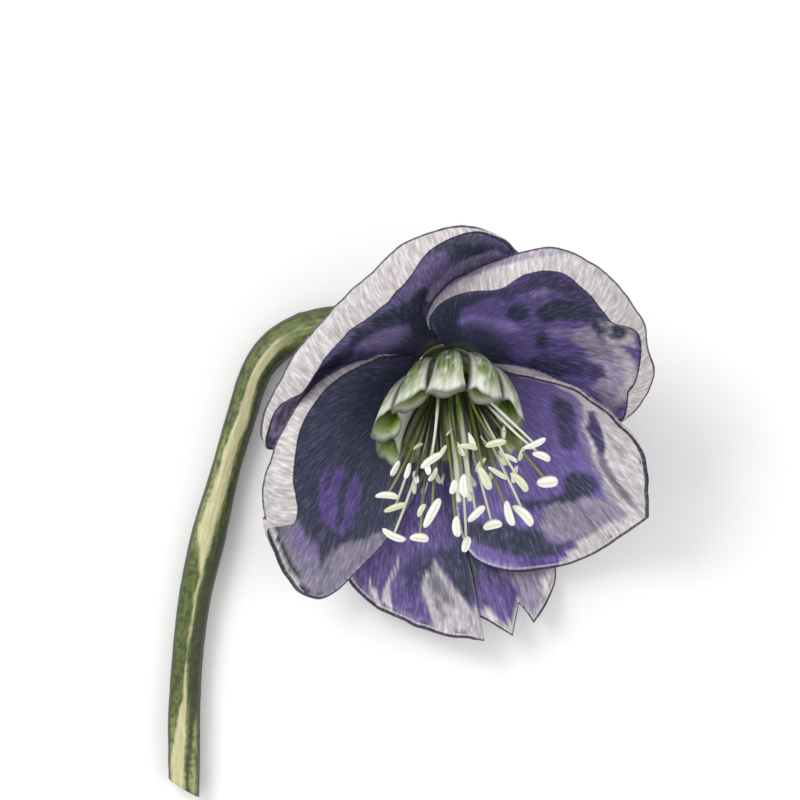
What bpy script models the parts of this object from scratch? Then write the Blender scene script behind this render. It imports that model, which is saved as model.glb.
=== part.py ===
"""A hellebore flower on its cut stem, laid down on a flat surface.

Sizes here are millimetres and the scene is in metres. +X is to the right of
the flower as it is looked down on, +Y runs from the cut end of the stem to
the bloom, +Z is up, and the flower lies on the plane z = 0.
"""
import math
import random

import bmesh
import bpy
from mathutils import Vector

MM = 0.001

# The receptacle, the knob at the end of the stem that carries every part
RECEPTACLE = Vector((6.7, 24.2, 10.4))
RECEPTACLE_RADIUS = 4.8
FLOWER_AXIS = Vector((0.14, -0.556, 0.819)).normalized()
ACROSS = (Vector((1, 0, 0)) - FLOWER_AXIS * FLOWER_AXIS.x).normalized()
UPWARD = FLOWER_AXIS.cross(ACROSS)

# Sepals: how far their claws start from the receptacle's middle, their
# thickness, the height below which the underside lies flat on the surface, and
# how finely the outline, the blade and its curled margin are divided
CLAW_REACH = 5.22
CLAW_HALF_WIDTH = math.radians(44)
SEPAL_THICKNESS = 0.7
RESTING_HEIGHT = 0.12
OUTLINE_STEP = 3.6
BLADE_ROWS = (0.0, 0.14, 0.3, 0.46, 0.62, 0.77, 0.9, 1.0)
CURL_STEPS = 16
CURL_ROWS = (0.22, 0.5, 0.76, 1.0)

# Each outline runs anticlockwise from the claw round the blade and back to it:
# x, y, z, the width of the curled margin and how many degrees it curls over.
# claw is the claw's direction round the flower, in degrees, and its height on
# the receptacle, and cup says how low the blade stays before it rises.
SEPALS = {
    "sepal_back": {
        "claw": (122, -1.4),
        "cup": 1.75,
        "outline": (
            (11.2, 30.3, 11.8, 0.7, 25),
            (15.3, 36.0, 18.0, 0.7, 25),
            (18.8, 41.3, 27.0, 0.8, 30),
            (17.0, 44.4, 33.5, 0.9, 40),
            (12.4, 47.0, 38.5, 1.2, 60),
            (7.2, 47.3, 41.0, 2.6, 85),
            (2.1, 45.7, 41.0, 3.9, 100),
            (-3.1, 43.2, 40.0, 7.5, 104),
            (-8.2, 38.7, 37.0, 7.5, 106),
            (-12.7, 33.8, 33.0, 6.0, 108),
            (-17.0, 28.8, 29.5, 6.1, 110),
            (-20.5, 24.3, 27.0, 6.2, 112),
            (-22.7, 19.5, 24.0, 2.6, 112),
            (-24.3, 14.5, 21.0, 2.2, 100),
            (-23.0, 11.5, 18.5, 0.8, 50),
            (-17.8, 12.8, 15.5, 0.7, 20),
            (-10.3, 17.5, 12.4, 0.7, 15),
            (-2.0, 21.5, 9.6, 0.7, 15),
        ),
    },
    "sepal_upper": {
        "claw": (50, 0.0),
        "cup": 1.75,
        "outline": (
            (14.3, 23.5, 9.0, 0.7, 10),
            (20.3, 20.8, 9.0, 0.7, 10),
            (26.8, 17.2, 11.6, 0.7, 15),
            (32.0, 16.0, 16.6, 0.8, 30),
            (35.5, 17.0, 21.2, 1.6, 80),
            (38.9, 19.3, 26.0, 3.6, 115),
            (40.7, 24.1, 29.0, 5.0, 120),
            (38.9, 28.6, 32.0, 1.8, 95),
            (38.3, 32.2, 34.0, 3.0, 100),
            (36.1, 36.5, 36.0, 7.2, 105),
            (31.3, 41.1, 38.0, 6.8, 105),
            (25.6, 43.7, 39.0, 5.0, 105),
            (20.2, 44.0, 38.5, 5.0, 105),
            (14.7, 42.5, 36.5, 6.2, 105),
            (9.4, 40.1, 33.0, 4.1, 105),
            (5.4, 37.2, 29.0, 2.4, 105),
            (3.3, 33.5, 24.0, 1.4, 90),
            (4.5, 29.5, 18.0, 0.8, 50),
        ),
    },
    "sepal_right": {
        "claw": (-24, 1.4),
        "cup": 1.75,
        "outline": (
            (7.6, 16.1, 9.0, 0.7, 10),
            (7.6, 7.7, 6.0, 0.7, 10),
            (8.7, -2.2, 3.6, 0.7, 12),
            (11.4, -7.2, 4.1, 0.7, 15),
            (16.7, -9.3, 5.2, 0.7, 18),
            (22.6, -9.1, 5.0, 0.8, 20),
            (28.0, -8.0, 5.4, 0.8, 22),
            (32.9, -5.6, 7.5, 0.8, 25),
            (36.4, -2.9, 11.5, 0.8, 25),
            (39.8, -0.1, 16.5, 0.7, 20),
            (39.6, 2.9, 19.5, 0.8, 25),
            (39.9, 7.1, 22.5, 0.8, 30),
            (38.3, 11.8, 24.5, 0.9, 35),
            (35.3, 15.6, 25.5, 1.0, 45),
            (31.9, 19.0, 25.5, 1.2, 60),
            (27.3, 22.0, 24.0, 1.3, 70),
            (22.0, 23.6, 21.5, 1.3, 70),
            (16.6, 24.2, 16.6, 0.9, 45),
        ),
    },
    "sepal_lower": {
        "claw": (-93, -1.4),
        "cup": 2.5,
        "outline": (
            (2.6, 15.3, 5.2, 0.7, 10),
            (-2.5, 6.3, 3.6, 0.7, 10),
            (-7.6, -3.3, 3.4, 0.7, 10),
            (-10.3, -8.6, 4.4, 0.7, 12),
            (-9.2, -11.6, 4.9, 0.7, 15),
            (-5.9, -14.7, 5.6, 0.7, 15),
            (-0.8, -17.6, 6.6, 0.7, 15),
            (5.6, -19.8, 7.2, 0.7, 15),
            (13.1, -20.8, 8.4, 0.4, 10),
            (10.7, -16.5, 4.8, 0.4, 10),
            (14.1, -18.0, 5.8, 0.4, 10),
            (17.8, -20.1, 8.2, 0.4, 10),
            (19.0, -14.7, 4.0, 0.4, 10),
            (21.4, -17.9, 6.8, 0.4, 10),
            (23.8, -14.4, 4.6, 0.5, 10),
            (25.3, -9.7, 1.8, 0.6, 10),
            (23.5, -3.4, 0.9, 0.7, 10),
            (18.3, 6.0, 1.4, 0.7, 10),
            (12.7, 15.3, 3.8, 0.7, 10),
        ),
    },
    "sepal_left": {
        "claw": (198, 1.4),
        "cup": 1.75,
        "outline": (
            (0.9, 27.5, 15.5, 0.9, 40),
            (-5.8, 26.6, 19.0, 1.6, 80),
            (-12.0, 24.2, 22.5, 2.1, 112),
            (-16.9, 20.0, 25.0, 2.8, 118),
            (-20.5, 15.0, 26.5, 4.1, 120),
            (-22.4, 10.6, 26.8, 5.6, 120),
            (-24.1, 6.4, 26.5, 8.0, 120),
            (-24.5, 2.7, 25.0, 8.8, 118),
            (-24.2, 0.4, 23.8, 8.2, 112),
            (-23.6, -1.4, 22.4, 1.5, 100),
            (-21.9, -5.7, 18.5, 1.0, 60),
            (-19.5, -10.7, 14.5, 0.8, 40),
            (-17.2, -13.1, 12.0, 0.8, 35),
            (-14.5, -13.7, 10.2, 0.7, 30),
            (-11.5, -12.3, 8.6, 0.7, 25),
            (-8.7, -9.6, 7.2, 0.7, 20),
            (-4.2, -5.0, 6.0, 0.7, 15),
            (0.2, 0.9, 5.8, 0.7, 15),
            (4.3, 9.4, 7.5, 0.7, 12),
            (5.6, 15.3, 9.5, 0.7, 12),
        ),
    },
}

# The stem's middle line and radius, from the cut end to the back of the bloom
STEM_ROUTE = (
    (-37.7, -46.1, 2.8, 2.6),
    (-37.7, -40.0, 2.8, 2.7),
    (-37.7, -33.9, 2.8, 2.7),
    (-37.1, -23.7, 2.8, 2.6),
    (-35.8, -13.5, 2.9, 2.7),
    (-33.5, -3.4, 3.0, 2.9),
    (-30.9, 6.8, 2.7, 2.4),
    (-27.9, 17.0, 2.8, 2.5),
    (-25.5, 24.2, 2.9, 2.6),
    (-22.1, 28.6, 3.0, 2.9),
    (-16.4, 31.7, 3.0, 2.9),
    (-8.8, 32.9, 2.8, 2.7),
    (-1.6, 32.6, 3.0, 2.6),
    (3.2, 30.8, 4.6, 2.7),
)
STEM_STEP = 4.0
STEM_SIDES = 14
CUT_SLOPE = -0.6
# Heights along the flower axis: the stem's neck, then the receptacle's ball
NECK = ((-5.6, 3.3), (-4.7, 3.3))
BALL_HEIGHTS = (-3.4, -2.6, -1.3, 0.0, 1.6, 3.0, 4.0, 4.6)

# The rings that the nectaries and the stamens grow from sit on the receptacle
# 0.3 mm clear of it: each section's points are a radius and a height
NECTARY_RING = ((3.6, 3.65), (4.3, 2.85), (4.75, 2.05), (5.6, 2.5), (5.4, 3.5), (4.6, 4.5), (3.6, 4.9))
STAMEN_RING = ((2.45, 4.6), (3.3, 4.0), (3.3, 5.6), (2.45, 5.9))
CARPEL_SEAT = ((5.12, 1.5), (5.4, 2.0), (6.2, 1.8), (10.0, 0.8))

# Nectaries: trumpets with a thin wall and two lips, which spread from the
# receptacle and then hang over the foot of the stamens, shorter at the low side
NECTARY_COUNT = 11
NECTARY_PHASE = 0.82
NECTARY_LENGTH = 13.5
NECTARY_SHORTER = 0.42
NECTARY_ROOT_RADIUS = 0.95
NECTARY_MOUTH_RADIUS = 3.0
NECTARY_FLATNESS = 0.64
NECTARY_WALL = 0.6
NECTARY_SIDES = 8
NECTARY_SPREAD = 0.84
NECTARY_LOW_SPREAD = 0.6
NECTARY_HANG = Vector((-0.1, -1.04, 0.16))
NECTARY_FAN = 0.15
NECTARY_LIFT = 0.15
OUTER_LIP = 1.7
INNER_LIP = 1.5

# The middle line of the stamens and styles, which droops from the flower axis
COLUMN_HEIGHT = 25.0
COLUMN_DROOP = Vector((-0.6, -8.8, -4.4))

# Stamens: the tips lie on a low dome, from near the middle line out to its rim
STAMEN_COUNT = 38
STAMEN_INNER_SPREAD = 2.4
STAMEN_OUTER_SPREAD = 13.0
STAMEN_TOP = 26.5
STAMEN_DOME = 0.3
STAMEN_WIDER = 1.04
STAMEN_LOWER = 0.5
STAMEN_UNEVENNESS = 1.2
FILAMENT_RADIUS = 0.38
FILAMENT_BOW = 1.6
ANTHER_LENGTH = 3.0
ANTHER_RADIUS = 0.72
ANTHER_TILT = 0.8
# A share of the anther's length and of its radius
ANTHER_SHAPE = ((-0.5, 0.35), (-0.25, 0.95), (0.2, 1.0), (0.5, 0.4))

# Carpels: pods that are drawn out into styles, as heights and radii
CARPEL_COUNT = 4
STYLE_RADIUS = 0.42
CARPEL_SHAPE = ((5.6, 0.7), (7.0, 1.15), (9.0, 1.3), (11.0, 1.0), (12.6, STYLE_RADIUS),
                (16.0, STYLE_RADIUS), (20.0, STYLE_RADIUS), (23.0, 0.5))
CARPEL_SPACING = 0.95
CARPEL_SPREAD = 0.02

COLOURS = {
    "stem": ((0.17, 0.22, 0.06), 0.5),
    "sepal_back": ((0.09, 0.06, 0.2), 0.45),
    "sepal_upper": ((0.1, 0.06, 0.24), 0.45),
    "sepal_right": ((0.14, 0.08, 0.32), 0.45),
    "sepal_lower": ((0.12, 0.07, 0.3), 0.45),
    "sepal_left": ((0.05, 0.05, 0.13), 0.45),
    "nectaries": ((0.4, 0.5, 0.18), 0.45),
    "stamens": ((0.78, 0.76, 0.6), 0.6),
    "carpels": ((0.6, 0.66, 0.4), 0.5),
}


def smooth_curve(points, step):
    """Points every step or so on a smooth curve that meets each given point"""
    knots = [0.0]
    for here, after in zip(points, points[1:]):
        knots.append(knots[-1] + math.dist(here[:3], after[:3]))
    last = len(points) - 1
    slopes = []
    for i in range(last + 1):
        before, after = max(i - 1, 0), min(i + 1, last)
        span = knots[after] - knots[before]
        slopes.append([(b - a) / span for a, b in zip(points[before], points[after])])
    curve = []
    for i in range(last):
        span = knots[i + 1] - knots[i]
        pieces = max(1, round(span / step))
        for k in range(pieces):
            t = k / pieces
            spot = []
            for p, q, m, n in zip(points[i], points[i + 1], slopes[i], slopes[i + 1]):
                rise = (2 * t**3 - 3 * t**2 + 1) * p + (3 * t**2 - 2 * t**3) * q
                lean = (t**3 - 2 * t**2 + t) * m + (t**3 - t**2) * n
                spot.append(rise + lean * span)
            curve.append((knots[i] + t * span, spot))
    curve.append((knots[-1], list(points[-1])))
    return [(distance / knots[-1], spot) for distance, spot in curve]


def spoke_at(angle):
    """The direction square to the flower axis at an angle round it"""
    return ACROSS * math.cos(angle) + UPWARD * math.sin(angle)


def flower_point(radius, angle, height):
    """A point by its distance from the flower axis, its angle and its height"""
    return RECEPTACLE + spoke_at(angle) * radius + FLOWER_AXIS * height


def sepal_columns(sepal):
    """The blade's middle surface, one column for each point of the outline"""
    centre, height = sepal["claw"]
    edge = smooth_curve(sepal["outline"], OUTLINE_STEP)
    rims = [Vector(spot[:3]) for fraction, spot in edge]
    columns = []
    for i, (fraction, spot) in enumerate(edge):
        angle = math.radians(centre) + CLAW_HALF_WIDTH * (2 * fraction - 1)
        claw = flower_point(math.sqrt(CLAW_REACH**2 - height**2), angle, height)
        rise, spread = split(rims[i] - claw)
        along = (rims[min(i + 1, len(rims) - 1)] - rims[max(i - 1, 0)]).normalized()
        outward = (spread + FLOWER_AXIS * (rise * sepal["cup"])).normalized()
        round_flower = FLOWER_AXIS.cross(spoke_at(angle))
        inner = outward.cross(along + round_flower * 0.5).normalized()
        outward = along.cross(inner).normalized()
        margin, overhang = curl(outward, inner, spot[3], math.radians(spot[4]))
        fold = rims[i] - outward * overhang
        rise, spread = split(fold - claw)
        column = []
        for s in BLADE_ROWS:
            column.append(claw + spread * s + FLOWER_AXIS * (rise * s ** sepal["cup"]))
        column += [fold + offset for offset in margin]
        for point in column:
            point.z = max(point.z, SEPAL_THICKNESS / 2)
        columns.append(column)
    return columns


def split(reach):
    """A vector's share along the flower axis and what is left across it"""
    rise = reach.dot(FLOWER_AXIS)
    return rise, reach - FLOWER_AXIS * rise


def curl(outward, inner, width, angle):
    """The margin's offsets from its fold, turning over most near the blade, and
    how far it hangs out beyond the fold"""
    points = []
    out, up, overhang = 0.0, 0.0, 0.0
    for k in range(1, CURL_STEPS + 1):
        left = 1 - (k - 0.5) / CURL_STEPS
        turn = angle * (1 - left**2)
        out += math.cos(turn) * width / CURL_STEPS
        up += math.sin(turn) * width / CURL_STEPS
        overhang = max(overhang, out)
        points.append(outward * out + inner * up)
    return [points[round(t * CURL_STEPS) - 1] for t in CURL_ROWS], overhang


def thicken(columns):
    """A closed blade whose two faces are split into triangles alike"""
    wide, deep = len(columns), len(columns[0])
    upper, under = [], []
    for i in range(wide):
        for j in range(deep):
            side = columns[min(i + 1, wide - 1)][j] - columns[max(i - 1, 0)][j]
            out = columns[i][min(j + 1, deep - 1)] - columns[i][max(j - 1, 0)]
            normal = out.cross(side).normalized() * (SEPAL_THICKNESS / 2)
            upper.append(columns[i][j] + normal)
            below = columns[i][j] - normal
            below.z = 0.0 if below.z < RESTING_HEIGHT else below.z
            under.append(below)
    count = wide * deep
    triangles = []
    for i in range(wide - 1):
        for j in range(deep - 1):
            a, b = i * deep + j, i * deep + j + 1
            c, d = b + deep, a + deep
            for corners in ((a, b, c), (a, c, d)):
                triangles.append(corners)
                triangles.append(tuple(v + count for v in reversed(corners)))
    border = list(range(deep))
    border += [i * deep + deep - 1 for i in range(1, wide)]
    border += [(wide - 1) * deep + j for j in range(deep - 2, -1, -1)]
    border += [i * deep for i in range(wide - 2, 0, -1)]
    for a, b in zip(border, border[1:] + border[:1]):
        triangles.append((b, a, a + count))
        triangles.append((b, a + count, b + count))
    return upper + under, triangles


def frames(route):
    """Two directions square to the route at each point, without twist"""
    result = []
    side = Vector((0, 0, 1))
    for i in range(len(route)):
        ahead = (route[min(i + 1, len(route) - 1)] - route[max(i - 1, 0)]).normalized()
        side = (side - ahead * side.dot(ahead)).normalized()
        result.append((side, ahead.cross(side)))
    return result


def tube_rings(route, radii, sides):
    """Round rings along a route"""
    rings = []
    for spot, (side, cross), radius in zip(route, frames(route), radii):
        ring = []
        for i in range(sides):
            angle = 2 * math.pi * i / sides
            ring.append(spot + (side * math.cos(angle) + cross * math.sin(angle)) * radius)
        rings.append(ring)
    return rings


def skin(rings):
    """The points and faces of rings joined in order and closed at both ends"""
    sides = len(rings[0])
    last = (len(rings) - 1) * sides
    points = [point for ring in rings for point in ring]
    faces = [tuple(reversed(range(sides))), tuple(range(last, last + sides))]
    for start in range(0, last, sides):
        for i in range(sides):
            a, b = start + i, start + (i + 1) % sides
            faces.append((a, b, b + sides))
            faces.append((a, b + sides, a + sides))
    return points, faces


def turned_ring(section, sides):
    """The points and faces of a section turned round the flower axis"""
    points, faces = [], []
    count = len(section)
    for k in range(sides):
        angle = 2 * math.pi * k / sides
        points += [flower_point(radius, angle, height) for radius, height in section]
        for i in range(count):
            j = (i + 1) % count
            a, b = k * count + i, k * count + j
            c, d = (k + 1) % sides * count + j, (k + 1) % sides * count + i
            faces += [(a, b, c), (a, c, d)]
    return points, faces


def make_object(name, shape, finish):
    """An object from points in millimetres, with its faces pointing out"""
    points, faces = shape
    mesh = bpy.data.meshes.new(name)
    mesh.from_pydata([point * MM for point in points], [], faces)
    work = bmesh.new()
    work.from_mesh(mesh)
    bmesh.ops.recalc_face_normals(work, faces=work.faces)
    work.to_mesh(mesh)
    work.free()
    mesh.materials.append(material(finish))
    mesh.shade_smooth()
    mesh.set_sharp_from_angle(angle=math.radians(60))
    thing = bpy.data.objects.new(name, mesh)
    bpy.context.scene.collection.objects.link(thing)
    return thing


def material(name):
    """The plain finish of a piece, made once"""
    found = bpy.data.materials.get(name)
    if found:
        return found
    colour, roughness = COLOURS[name]
    finish = bpy.data.materials.new(name)
    finish.use_nodes = True
    shader = finish.node_tree.nodes["Principled BSDF"]
    shader.inputs["Base Color"].default_value = (*colour, 1)
    shader.inputs["Roughness"].default_value = roughness
    shader.inputs["Metallic"].default_value = 0
    return finish


def join(base, pieces):
    """Makes the base one body with the pieces that grow out of it"""
    group = bpy.data.collections.new(base.name + "_pieces")
    bpy.context.scene.collection.children.link(group)
    for piece in pieces:
        bpy.context.scene.collection.objects.unlink(piece)
        group.objects.link(piece)
    union = base.modifiers.new("union", "BOOLEAN")
    union.operation = "UNION"
    union.operand_type = "COLLECTION"
    union.collection = group
    union.solver = "EXACT"
    bpy.context.view_layer.update()
    whole = base.evaluated_get(bpy.context.evaluated_depsgraph_get())
    mesh = bpy.data.meshes.new_from_object(whole)
    base.modifiers.clear()
    base.data = mesh
    for piece in pieces:
        bpy.data.objects.remove(piece)
    bpy.data.collections.remove(group)


def make_stem():
    """The stem, its slanting cut end and the receptacle that it swells into"""
    curve = smooth_curve(STEM_ROUTE, STEM_STEP)
    route = [Vector(spot[:3]) for fraction, spot in curve]
    radii = [spot[3] for fraction, spot in curve]
    for height, radius in NECK:
        route.append(RECEPTACLE + FLOWER_AXIS * height)
        radii.append(radius)
    for height in BALL_HEIGHTS:
        route.append(RECEPTACLE + FLOWER_AXIS * height)
        radii.append(math.sqrt(RECEPTACLE_RADIUS**2 - height**2))
    rings = tube_rings(route, radii, STEM_SIDES)
    for spot in rings[0]:
        spot.y += CUT_SLOPE * (spot.x - route[0].x)
    make_object("stem", skin(rings), "stem")


def make_sepals():
    for name, sepal in SEPALS.items():
        make_object(name, thicken(sepal_columns(sepal)), name)


def make_nectaries():
    ring = make_object("nectaries", turned_ring(NECTARY_RING, 30), "nectaries")
    trumpets = []
    for k in range(NECTARY_COUNT):
        angle = 2 * math.pi * (k + NECTARY_PHASE) / NECTARY_COUNT
        shape = skin(trumpet_rings(angle))
        trumpets.append(make_object("nectary_%02d" % k, shape, "nectaries"))
    join(ring, trumpets)


def trumpet_rings(angle):
    """One nectary's rings: out along its outside, then back down its inside"""
    spoke = spoke_at(angle)
    across = FLOWER_AXIS.cross(spoke)
    height = math.sin(angle)
    length = NECTARY_LENGTH * (1 - NECTARY_SHORTER * max(0.0, -height))
    root = flower_point(4.5, angle, 3.3)
    spread = NECTARY_SPREAD + (NECTARY_LOW_SPREAD - NECTARY_SPREAD) * max(0.0, -height)
    leave = spoke * spread + FLOWER_AXIS * math.sqrt(1 - spread**2)
    arrive = NECTARY_HANG + Vector((math.cos(angle) * NECTARY_FAN, 0, height * NECTARY_LIFT))
    rings = []
    for wall, stations in ((0, (0.0, 0.3, 0.55, 0.8, 1.0)), (NECTARY_WALL, (0.98, 0.8, 0.62))):
        for t in stations:
            middle = root + (leave * (2 * t - t * t) + arrive * t * t) * (length / 2)
            heading = (leave * (1 - t) + arrive * t).normalized()
            outward = across.cross(heading).normalized()
            widening = (NECTARY_MOUTH_RADIUS - NECTARY_ROOT_RADIUS) * t**0.8
            radius = NECTARY_ROOT_RADIUS + widening - wall
            near_mouth = max(0.0, (t - 0.8) / 0.2)
            ring = []
            for i in range(NECTARY_SIDES):
                turn = 2 * math.pi * i / NECTARY_SIDES
                lip = OUTER_LIP * max(0.0, math.cos(turn)) ** 2
                lip += INNER_LIP * max(0.0, -math.cos(turn)) ** 2
                flat = outward * (math.cos(turn) * NECTARY_FLATNESS) + across * math.sin(turn)
                ring.append(middle + flat * radius + heading * (lip * near_mouth))
            rings.append(ring)
    return rings


def column_point(height):
    """The drooping middle line of the stamens and styles"""
    return RECEPTACLE + FLOWER_AXIS * height + COLUMN_DROOP * (height / COLUMN_HEIGHT) ** 2


def make_stamens():
    """Filaments with their anthers, fanned round the middle line"""
    ring = make_object("stamens", turned_ring(STAMEN_RING, 20), "stamens")
    draw = random.Random(7)
    pieces = []
    for k in range(STAMEN_COUNT):
        angle = k * math.pi * (3 - math.sqrt(5))
        share = math.sqrt((k + 0.5) / STAMEN_COUNT)
        spread = STAMEN_INNER_SPREAD + (STAMEN_OUTER_SPREAD - STAMEN_INNER_SPREAD) * share
        height = STAMEN_TOP - spread * STAMEN_DOME + draw.uniform(-1, 1) * STAMEN_UNEVENNESS
        apart = ACROSS * (math.cos(angle) * STAMEN_WIDER)
        apart += UPWARD * (math.sin(angle) * STAMEN_LOWER)
        tip = column_point(height) + apart * spread
        route = filament_route(flower_point(2.9, angle, 5.0), tip)
        shape = skin(tube_rings(route, [FILAMENT_RADIUS] * len(route), 3))
        pieces.append(make_object("filament_%02d" % k, shape, "stamens"))
        tilt = Vector([draw.uniform(-1, 1) * ANTHER_TILT for axis in range(3)])
        heading = ((route[-1] - route[-2]).normalized() + tilt).normalized()
        spine = [tip + heading * (ANTHER_LENGTH * along) for along, wide in ANTHER_SHAPE]
        radii = [ANTHER_RADIUS * wide for along, wide in ANTHER_SHAPE]
        shape = skin(tube_rings(spine, radii, 5))
        pieces.append(make_object("anther_%02d" % k, shape, "stamens"))
    join(ring, pieces)


def filament_route(root, tip):
    """A slightly bowed line from the receptacle to the anther"""
    middle = root + (tip - root) * 0.5 + FLOWER_AXIS * FILAMENT_BOW
    route = []
    for i in range(4):
        t = i / 3
        route.append(root * (1 - t) ** 2 + middle * (2 * t * (1 - t)) + tip * t**2)
    return route


def make_carpels():
    """Pods side by side on the receptacle, each drawn out into a style"""
    spine = [flower_point(0, 0, height) for height, radius in CARPEL_SEAT]
    radii = [radius for height, radius in CARPEL_SEAT]
    seat = make_object("carpels", skin(tube_rings(spine, radii, 14)), "carpels")
    pods = []
    for k in range(CARPEL_COUNT):
        spoke = spoke_at(2 * math.pi * (k + 0.5) / CARPEL_COUNT)
        route, radii = [], []
        for height, radius in CARPEL_SHAPE:
            apart = CARPEL_SPACING + CARPEL_SPREAD * (height - CARPEL_SHAPE[0][0])
            route.append(column_point(height) + spoke * apart)
            radii.append(radius)
        shape = skin(tube_rings(route, radii, 8))
        pods.append(make_object("carpel_%02d" % k, shape, "carpels"))
    join(seat, pods)


def main():
    for thing in list(bpy.data.objects):
        bpy.data.objects.remove(thing)
    make_stem()
    make_sepals()
    make_nectaries()
    make_stamens()
    make_carpels()


main()
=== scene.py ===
"""The finished look of a hellebore flower, built round its CAD model.

Sizes here are millimetres in the model's own frame, and the scene is in metres.
The camera looks straight down on the flower as it lies on a pale surface.
"""
import math
import random

import bpy
import numpy as np
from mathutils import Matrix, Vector


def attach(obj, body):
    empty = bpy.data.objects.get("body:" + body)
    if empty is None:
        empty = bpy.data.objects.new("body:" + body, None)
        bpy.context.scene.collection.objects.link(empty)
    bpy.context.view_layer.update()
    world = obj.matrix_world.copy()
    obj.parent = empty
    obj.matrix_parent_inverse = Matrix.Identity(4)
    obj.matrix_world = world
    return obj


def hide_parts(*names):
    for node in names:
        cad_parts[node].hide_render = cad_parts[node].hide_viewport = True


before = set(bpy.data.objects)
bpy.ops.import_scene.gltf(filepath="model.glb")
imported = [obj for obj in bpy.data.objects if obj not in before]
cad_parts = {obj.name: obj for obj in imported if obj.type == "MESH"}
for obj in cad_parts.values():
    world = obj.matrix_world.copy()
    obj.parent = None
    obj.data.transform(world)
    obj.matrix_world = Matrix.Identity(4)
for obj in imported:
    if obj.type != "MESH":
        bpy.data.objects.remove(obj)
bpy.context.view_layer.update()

MM = 0.001


def colour(red, green, blue):
    """A colour given as it looks on a screen, as the linear values that shaders use"""
    values = []
    for part in (red, green, blue):
        part /= 255
        values.append(part / 12.92 if part <= 0.04045 else ((part + 0.055) / 1.055) ** 2.4)
    return np.array(values)


# The flower's own frame, as in the CAD model
RECEPTACLE = np.array((6.7, 24.2, 10.4))
RECEPTACLE_RADIUS = 4.8
FLOWER_AXIS = np.array((0.14, -0.556, 0.819))
FLOWER_AXIS = FLOWER_AXIS / np.linalg.norm(FLOWER_AXIS)
ACROSS = np.array((1.0, 0.0, 0.0)) - FLOWER_AXIS * FLOWER_AXIS[0]
ACROSS = ACROSS / np.linalg.norm(ACROSS)
UPWARD = np.cross(FLOWER_AXIS, ACROSS)

# Where the picture's middle lies on the surface, and how high the camera stands
VIEW_CENTRE = np.array((-1.13, 19.5))
VIEW_HEIGHT = 755.0
VIEW_LENS = 200.0

# The build of every sepal, from its claw to its rolled margin
CLAW_REACH = 5.22
CLAW_HALF_WIDTH = math.radians(44)
COLUMN_STEP = 0.45
BLADE_ROWS = 46
FLAP_ROWS = 56
ALONG_WINDOW = 7
CLAW_THICKNESS = 0.75
BLADE_THICKNESS = 0.5
EDGE_ROUNDING = 0.3
RIB_HEIGHT = 0.26
RIB_WIDTH = 0.24
RIM_STRENGTH = 0.92

# Colours of the sepals
NAVY = colour(60, 64, 92)
SLATE = colour(92, 96, 116)
DUSK = colour(76, 66, 114)
PURPLE = colour(104, 88, 150)
# The back and upper sepals' purples are painted lighter: painted light against the shade in their
# cups
BACK_LIT_PURPLE = colour(120, 110, 166)
UPPER_LIT_PURPLE = colour(112, 96, 164)
RIGHT_PURPLE = colour(126, 108, 180)
VIOLET = colour(104, 82, 158)
LAVENDER = colour(136, 124, 168)
LILAC = colour(142, 128, 178)
MAUVE = colour(162, 152, 176)
GREY_LILAC = colour(144, 138, 162)
GREY = colour(136, 132, 144)
PALE_GREY = colour(182, 178, 184)
PALE = colour(194, 188, 194)
WHITE = colour(222, 216, 218)
# The next two lilacs are painted far lighter than the sepals are: painted light where shade falls
LIT_FOLD_LILAC = colour(214, 202, 242)
LIT_BRIGHT_LILAC = colour(172, 150, 230)
LINE = colour(46, 40, 60)
DEEP_LINE = colour(30, 28, 52)
BACK_WHITE = colour(198, 191, 192)
BACK_FLUSH = colour(118, 100, 158)
BACK_GREEN = colour(150, 162, 104)
BACK_BLUSH = colour(204, 188, 190)

# Each sepal's ground colour, the height of its pleats, how strong the pale line inside
# its rim is, how wide the dark line on its edge is, how far the streaks draw the marks
# out, which points of its outline are sharp, where its claw stands (the angle round the
# flower and the height on the receptacle) and how late it rises from claw to rim
USUAL_SEPAL = {"edge_line": 0.25, "ragged": 0.22, "corners": (), "cup": 1.75}
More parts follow.
